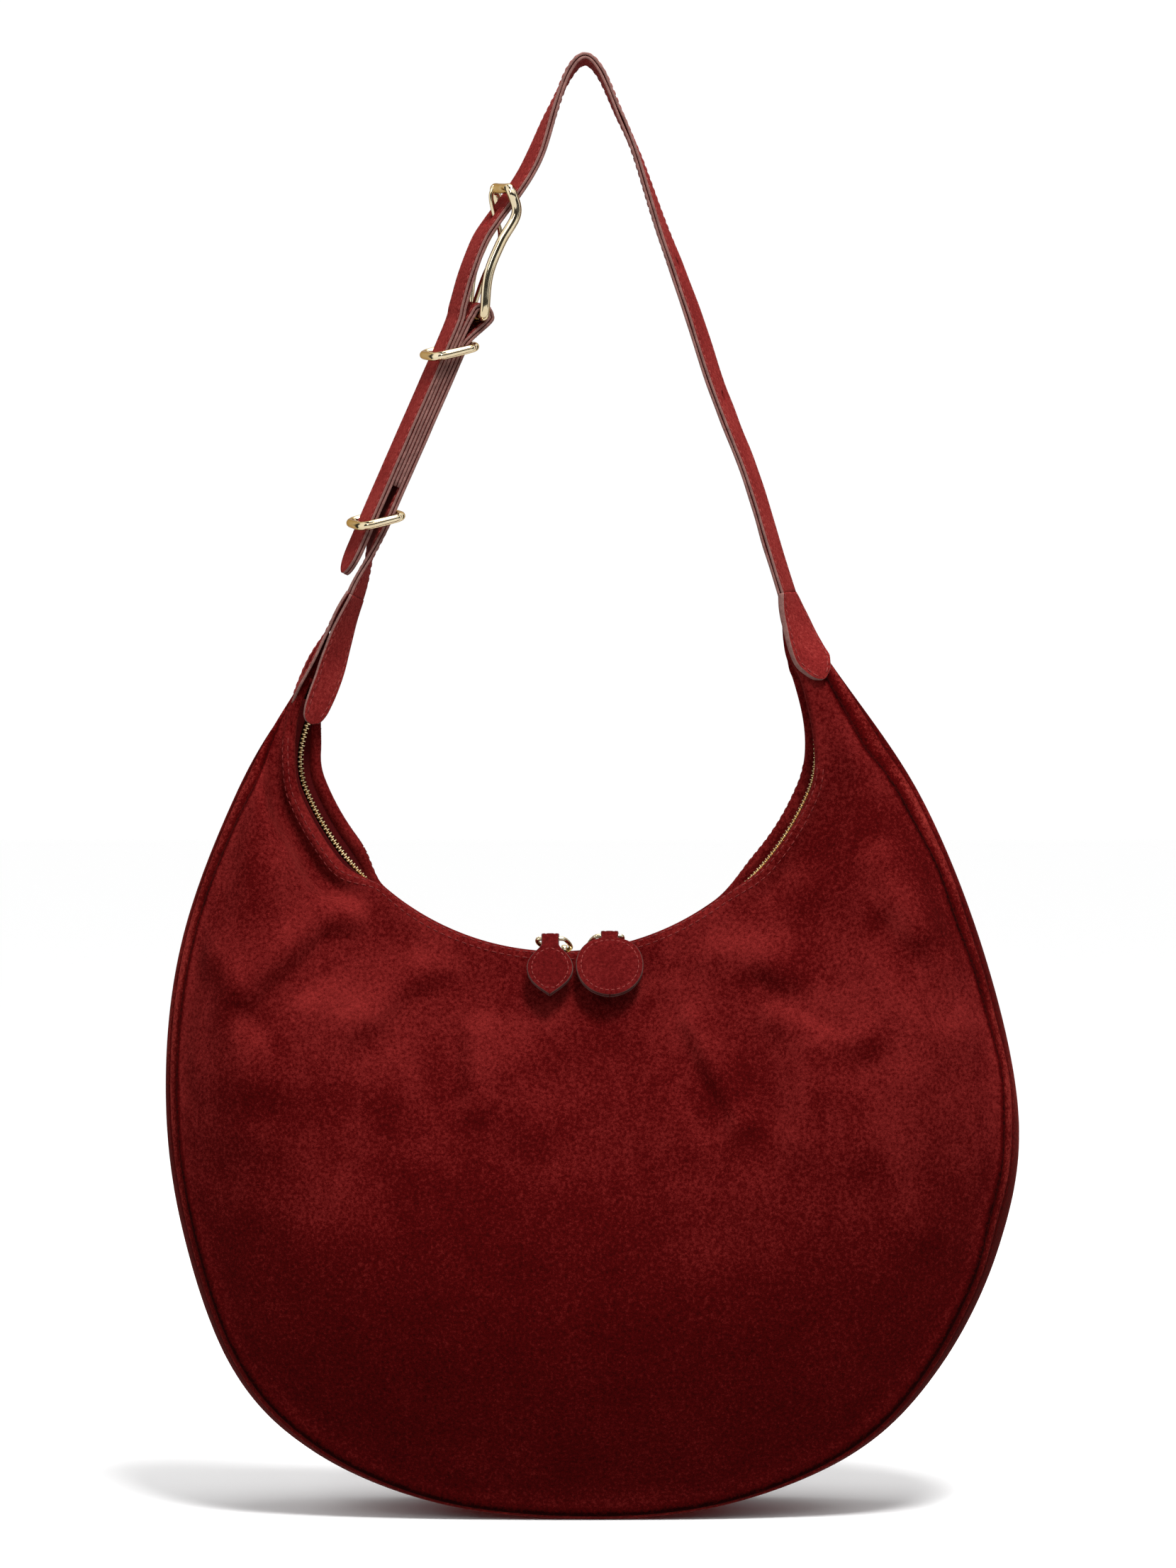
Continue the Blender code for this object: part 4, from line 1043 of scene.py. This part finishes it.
def leg_axes(leg):
    """A leg's upper end, its direction, and the way towards the arm's opening."""
    low, high = (flat(point) for point in leg)
    along = unit(high - low)
    inward = np.array([along[2], 0.0, -along[0]])
    return high, along, -inward if low[0] > 0 else inward


def turned(points):
    """Turn the strap's legs a little about their own lines, so their outer faces look forward."""
    points = np.asarray(points, float)
    result = None
    for leg, drop in ((LEFT_LEG, TURN_DROP[0]), (RIGHT_LEG, TURN_DROP[1])):
        base, along, inward = leg_axes(leg)
        offset = points - base
        u, v, y = offset @ along, offset @ inward, offset[..., 1]
        angle = math.radians(LEG_TURN) * smooth(APEX_Z, APEX_Z - drop, points[..., 2])
        moved = (base + along * u[..., None]
                 + inward * (v * np.cos(angle) - y * np.sin(angle))[..., None]
                 + ACROSS * (v * np.sin(angle) + y * np.cos(angle))[..., None])
        result = moved if result is None else np.where(points[..., :1] < APEX_X, result, moved)
    return result


def flat_frame(path):
    """Directions along the strap's path: outwards, and across it along Y."""
    along = tangents(path)
    outward = np.stack([-along[:, 2], 0 * along[:, 0], along[:, 0]], axis=-1)
    return outward, np.broadcast_to(ACROSS, path.shape)


def leg_point(u, v):
    """A point on the left leg: u up from its upper end, v towards the arm's opening."""
    base, along, inward = leg_axes(LEFT_LEG)
    p = base + along * u + inward * v
    return (p[0], p[2])


def flat_path(points):
    return spline([flat(point) for point in points], 10)


def relax(points):
    """Below the keepers the anchor strap unwinds, so that its inner face begins to show."""
    _, along, inward = leg_axes(LEFT_LEG)
    start = turned(flat(ANCHOR_START[0]))
    amount = np.radians(LEG_TURN + 12.0) * smooth(0.512, 0.472, points[..., 2])
    offset = points - start
    u, v, y = offset @ along, offset @ inward, offset[..., 1]
    return (start + along * u[..., None] + inward * (v * np.cos(amount) + y * np.sin(amount))[..., None]
            + ACROSS * (y * np.cos(amount) - v * np.sin(amount))[..., None])


def make_layers(name, path, half, shape, cutters, trim=0.0):
    """The face and backing of a strap, with their holes, edge paint and stitching."""
    outward, wide = flat_frame(path)
    offset = 0.5 * LAYER_GAP
    for part, low, high, seed in (("face", offset, offset + STRAP_LAYER, 90),
                                  ("backing", -offset - STRAP_LAYER, -offset, 95)):
        rings, edge = strip_rings(path, wide, outward, half, low, high)
        item = strip(f"{name}_{part}_suede", shape(rings), edge, STRAP, seed)
        for cutter in cutters:
            hole = item.modifiers.new("hole", "BOOLEAN")
            hole.operation = "DIFFERENCE"
            hole.solver = "MANIFOLD"
            hole.object = cutter
        apply_modifiers(item)
        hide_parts(f"{name}_{part}")
        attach(item, "strap")
        level, rise = (high + STITCH_LIFT, 0.001) if part == "face" else (low - STITCH_LIFT, -0.001)
        rows = Stitches()
        at = lengths(path)
        keep = (at > trim) & (at < at[-1])
        for sign in (-1, 1):
            line = path + outward * level + wide * (sign * (half - STITCH_INSET))[:, None]
            above = line + outward * rise
            line, above = shape(line)[keep], shape(above)[keep]
            rows.row(line, unit(above - line))
        stitched = rows.build(f"{name}_{part}_stitching", THREADS)
        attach(stitched, "strap")


def slot_cutter(near, along, length, width):
    """A rounded slot through the strap, as a solid to cut with."""
    outward = np.array([-along[2], 0.0, along[0]])
    u, y = squared(circle(20), 0.75)
    outline = near + along * (0.5 * length * u)[:, None] + ACROSS * (0.5 * width * y)[:, None]
    rings = np.array([outline + outward * depth for depth in (-0.005, -0.002, 0.0, 0.002, 0.005)])
    return tube_object("cutter", turned(rings), THREADS)


def make_long_strap():
    """From the free end through the keepers and the buckle, over the top to the right horn."""
    tail = [leg_point(-u, -STACK) for u in (TAIL_LENGTH, TAIL_LENGTH - 0.008, 0.105, 0.05, -0.004)]
    path = flat_path(tail + LONG_STRAP)
    at = lengths(path)
    grown = np.clip(at / TAIL_ROUNDING, 0, 1)
    half = 0.5 * STRAP_WIDTH * np.sqrt(np.clip(1 - (1 - grown) ** 2.2, 0.02, 1))
    prong = at[np.argmin(np.linalg.norm(path - flat(PRONG_CROSSING), axis=1))]
    cutters = []
    for k in range(5):
        place = prong + k * HOLE_PITCH
        near, after = along_line(path, np.array([place, place + 0.001]))
        length = PRONG_SLOT if k == 0 else HOLE_LENGTH
        cutters.append(slot_cutter(near, unit(after - near), length, HOLE_WIDTH))
    make_layers("long_strap", path, half, turned, cutters, trim=0.010)
    for cutter in cutters:
        bpy.data.objects.remove(cutter)


def make_anchor_strap():
    """From the left horn up to the buckle's bar, round it, and back down behind the tail."""
    wrap = ROD + GAP + 0.5 * STRAP_PAIR
    around = [leg_point(BAR[0] + wrap * math.sin(a), BAR[1] + wrap * math.cos(a))
              for a in map(math.radians, (-10, 30, 60, 90, 120, 150, 190))]
    up = [leg_point(-u, STACK) for u in (0.100, 0.05, 0.008, -0.001)]
    down = [leg_point(u, 0.0) for u in (0.003, -0.045, -FOLD_BACK)]
    path = flat_path(ANCHOR_START + up + around + down)
    half = np.full(len(path), 0.5 * STRAP_WIDTH)
    foot = flat(leg_point(*BAR))
    turn = circle(16)
    disc = foot + PRONG_CUT * np.stack([np.cos(turn), 0 * turn, np.sin(turn)], axis=-1)
    rings = np.array([disc + ACROSS * y for y in (-PRONG_CUT_HALF, 0.0, PRONG_CUT_HALF)])
    cutter = tube_object("cutter", turned(rings), THREADS)
    make_layers("anchor_strap", path, half, lambda p: relax(turned(p)), [cutter])
    bpy.data.objects.remove(cutter)


def root_strip(name, table, low, high, side, seed, stitch_from, node=None):
    """A strap's end on a horn, bending between the bag and the strap.

    The table's rows are x, y, z, half width and the angle that the face turns forward."""
    rows = spline(table, 8)
    centre, half, angle = rows[:, :3], rows[:, 3], np.radians(rows[:, 4])
    normal = np.stack([side * np.cos(angle), -np.sin(angle), 0 * angle], axis=-1)
    along = tangents(centre)
    wide = unit(np.cross(normal, along))
    normal = unit(np.cross(along, wide))
    rings, edge = strip_rings(centre, wide, normal, half, low, high)
    item = strip(name, rings, edge, STRAP, seed)
    if node:
        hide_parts(node)
    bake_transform(item)
    rows = Stitches()
    at = lengths(centre)
    keep = at > stitch_from
    for sign in (-1, 1):
        inset = sign * np.maximum(half - STITCH_INSET, 0.0)
        line = centre + normal * (high + STITCH_LIFT) + wide * inset[:, None]
        rows.row(line[keep], normal[keep])
    stitched = rows.build(f"{name}_stitching", TAG_THREADS)
    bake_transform(stitched)


def make_roots():
    """The strap's ends: a petal and a rear strip on the left horn, and one end on the right."""
    petal = [(-0.1462, -0.0080, 0.4068, 0.0010, 62), (-0.1457, -0.0080, 0.4085, 0.0046, 61),
             (-0.1440, -0.0078, 0.4130, 0.0068, 58), (-0.1413, -0.0064, 0.4200, 0.0080, 52),
             (-0.1380, -0.0044, 0.4290, 0.0092, 43), (-0.1347, -0.0020, 0.4400, 0.0106, 33),
             (-0.1311, -0.0006, 0.4520, 0.0118, 24), (-0.1276, 0.0, 0.4620, 0.0124, 17),
             (-0.1231, 0.0, 0.4728, 0.0125, 12)]
    root_strip("strap_end_left_front", petal, 0.0, STRAP_LAYER, 1, 101, 0.004, "strap_root_left")
    rear = [(-0.1552, 0.0010, 0.4175, 0.0060, 4), (-0.1520, 0.0010, 0.4260, 0.0100, 6),
            (-0.1455, 0.0008, 0.4395, 0.0118, 8), (-0.1378, 0.0004, 0.4530, 0.0124, 2),
            (-0.1310, 0.0, 0.4630, 0.0125, -6), (-0.1235, 0.0, 0.4728, 0.0125, -12)]
    root_strip("strap_end_left_rear", rear, 0.0, STRAP_LAYER, -1, 104, 0.004)
    right = [(0.1195, -0.0122, 0.4298, 0.0012, 66), (0.1180, -0.0120, 0.4322, 0.0055, 66),
             (0.1158, -0.0108, 0.4360, 0.0085, 64), (0.1130, -0.0084, 0.4410, 0.0112, 57),
             (0.1095, -0.0046, 0.4490, 0.0122, 46), (0.1062, -0.0016, 0.4580, 0.0125, 36),
             (0.1032, -0.0003, 0.4670, 0.0125, 27), (0.1010, 0.0, 0.4748, 0.0125, 18)]
    thick = 0.5 * STRAP_PAIR
    root_strip("strap_end_right", right, -thick, thick, 1, 107, 0.002, "strap_root_right")


# ---- the tags -------------------------------------------------------------------------------
def shield_half(s):
    """The shield tag's half width at distances from its ring."""
    t = np.clip((s - TAG_NECK) / (SHIELD_LENGTH - TAG_NECK), 0, 1)
    return np.interp(t, *np.array(SHIELD_SHAPE).T)


def round_half(s):
    """The same for the round tag, which flares from its neck into a disc."""
    centre = ROUND_LENGTH - ROUND_RADIUS
    disc = np.sqrt(np.maximum(ROUND_RADIUS ** 2 - (s - centre) ** 2, 0.0))
    flared = (disc ** 3 + TAG_NECK_HALF ** 3) ** (1 / 3)
    return np.where(s < centre, flared, np.maximum(disc, 0.0006))


def shield_seam():
    """Distances along and across the shield where its stitches run."""
    s = np.linspace(TAG_NECK + 0.0022, SHIELD_LENGTH - 0.0036, 60)
    w = np.maximum(shield_half(s) - TAG_SEAM, 0.0002) * np.sqrt(smooth(0.0, 0.0035, s - s[0] + 0.0001))
    return np.append(s, s[::-1]), np.append(w, -w[::-1])


def round_seam():
    """The same for the round tag: a full circle."""
    turn = np.linspace(0, 2 * np.pi, 121)
    radius = ROUND_RADIUS - TAG_SEAM
    return ROUND_LENGTH - ROUND_RADIUS - radius * np.cos(turn), radius * np.sin(turn)


def make_tag(name, side, offset, length, half_width, seam):
    """A tag folded over its ring, hanging in front of the panel, stitched round its edge."""
    near = ring_place(side)
    fold = near + np.array([offset, RING_REACH[0], RING_REACH[1]])
    knee, toe = (near + np.array([offset, y, h]) for y, h in (TAG_KNEE, TAG_TOE))
    middle = spline([fold, knee, toe], 24)
    apart = 0.5 * TAG_LEATHER + 0.5 * TAG_LOBE_GAP
    wrap = LINK_ROD + GAP + 0.5 * TAG_LEATHER
    share = np.sin(0.5 * np.pi * np.linspace(0, 1, 44))
    s = length * (TAG_START + (1 - TAG_START) * share)
    place = along_line(middle, s)
    along = way_along(middle, s)
    face = np.cross(along, SIDEWAYS)
    first = unit(middle[1] - middle[0])
    first_face = np.cross(first, SIDEWAYS)
    turn = np.radians(np.linspace(-25, 205, 15))[:, None]
    loop = fold + wrap * (np.cos(turn) * first_face - np.sin(turn) * first)
    path = np.concatenate([(place + face * apart)[::-1], loop, place - face * apart])
    half = np.concatenate([half_width(s)[::-1], np.full(15, TAG_NECK_HALF), half_width(s)])
    way = tangents(path)
    up = unit(np.cross(way, SIDEWAYS))
    wide = np.broadcast_to(SIDEWAYS, path.shape)
    rings, edge = strip_rings(path, wide, up, half, -0.5 * TAG_LEATHER, 0.5 * TAG_LEATHER)
    item = strip(f"{name}_suede", rings, edge, TAGS, 110)
    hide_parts(name)
    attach(item, name)
    loop_s, loop_w = seam
    rows = Stitches()
    base, ways = along_line(middle, loop_s), way_along(middle, loop_s)
    for sign in (1, -1):
        faces = np.cross(ways, SIDEWAYS) * sign
        line = base + faces * (apart + 0.5 * TAG_LEATHER + 0.00006) + SIDEWAYS * loop_w[:, None]
        rows.row(line, faces, **SMALL_STITCH)
    stitched = rows.build(f"{name}_stitching", THREADS)
    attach(stitched, name)


make_hem_stitches(make_panels())
make_horn_tips()
make_inside()
make_tapes()
make_teeth()
make_stops()
make_buckle()
make_keepers()
make_pull_rings()
make_sliders()
make_long_strap()
make_anchor_strap()
make_roots()
make_tag("shield_tag", "left", -TAG_OFFSET, SHIELD_LENGTH, shield_half, shield_seam())
make_tag("round_tag", "right", TAG_OFFSET, ROUND_LENGTH, round_half, round_seam())


# ---- stage ----------------------------------------------------------------------------------
def make_sky(tree):
    """White above the horizon and greyer below it, so that less light comes from underneath."""
    place = add_node(tree, "TexCoord")
    split = add_node(tree, "SeparateXYZ", {"Vector": place.outputs["Generated"]})
    level = add_node(tree, "MapRange", {"Value": split.outputs["Z"], "From Min": -0.35,
                                        "From Max": -0.10, "To Min": 0.90, "To Max": 1.0})
    tree.links.new(level.outputs["Result"], tree.nodes["Background"].inputs["Color"])
    tree.nodes["Background"].inputs["Strength"].default_value = 1.03


def make_stage():
    """A pale floor, a pale sky and three soft lamps."""
    size = 30.0
    plane = new_object("floor", [(-size, -size, 0), (size, -size, 0), (size, size, 0), (-size, size, 0)],
                       [(0, 1, 2, 3)], plain_paint("floor_paint", (0.96, 0.96, 0.96), 0.9))
    plane.visible_diffuse = False
    plane.visible_glossy = False
    world = bpy.data.worlds.new("studio")
    bpy.context.scene.world = world
    world.use_nodes = True
    make_sky(world.node_tree)
    for name, place, target, size, power in (
            ("key", (0.45, -1.25, 2.65), (0, 0, 0.28), 0.8, 94),
            ("fill", (-1.7, -2.2, 1.7), (0, 0, 0.3), 1.2, 24),
            ("top", (0.1, 0.4, 2.6), (0, 0, 0.3), 1.6, 22)):
        light = bpy.data.lights.new(name, "AREA")
        light.shape = "SQUARE"
        light.size = size
        light.energy = power
        lamp = bpy.data.objects.new(name, light)
        lamp.location = place
        lamp.rotation_euler = (Vector(target) - Vector(place)).to_track_quat("-Z", "Y").to_euler()
        bpy.context.scene.collection.objects.link(lamp)


def make_flags():
    """Dark boards that the camera doesn't see: they shape the light and show in the polished metal."""
    board = plain_paint("flag_board", (0.015, 0.015, 0.016), 0.9)
    boards = {"flag_top": [(-1.8, -2.4, 3.2), (1.8, -2.4, 3.2), (1.8, 1.6, 3.2), (-1.8, 1.6, 3.2)]}
    for name, (x0, y0), (x1, y1), low, high in (
            ("flag_front", (-5.0, -3.2), (5.0, -3.2), 0.0, 1.65),
            ("flag_side_left", (-1.2, -1.7), (-1.35, -0.8), 0.2, 1.6),
            ("flag_side_right", (1.6, -1.2), (1.5, -0.4), 0.2, 1.6),
            ("flag_left", (-1.5, 0.7), (-1.0, 1.3), 0.0, 1.5),
            ("flag_right", (1.5, 0.7), (1.0, 1.3), 0.0, 1.5)):
        boards[name] = [(x0, y0, low), (x1, y1, low), (x1, y1, high), (x0, y0, high)]
    for name, corners in boards.items():
        plane = new_object(name, corners, [(0, 1, 2, 3)], board)
        plane.visible_camera = False


def make_camera():
    """Straight on, level with the body's upper part, from 2.5 m."""
    distance, height_seen = 2.5, 0.814
    lens = bpy.data.cameras.new("camera")
    lens.sensor_fit = "VERTICAL"
    lens.sensor_height = 36.0
    lens.lens = 36.0 * distance / height_seen
    lens.clip_start, lens.clip_end = 0.05, 100.0
    camera = bpy.data.objects.new("camera", lens)
    camera.location = (-0.0024, -distance, 0.3756)
    camera.rotation_euler = (math.radians(90), 0, 0)
    bpy.context.scene.collection.objects.link(camera)
    bpy.context.scene.camera = camera


bpy.context.scene.view_settings.view_transform = "Standard"
make_stage()
make_flags()
make_camera()
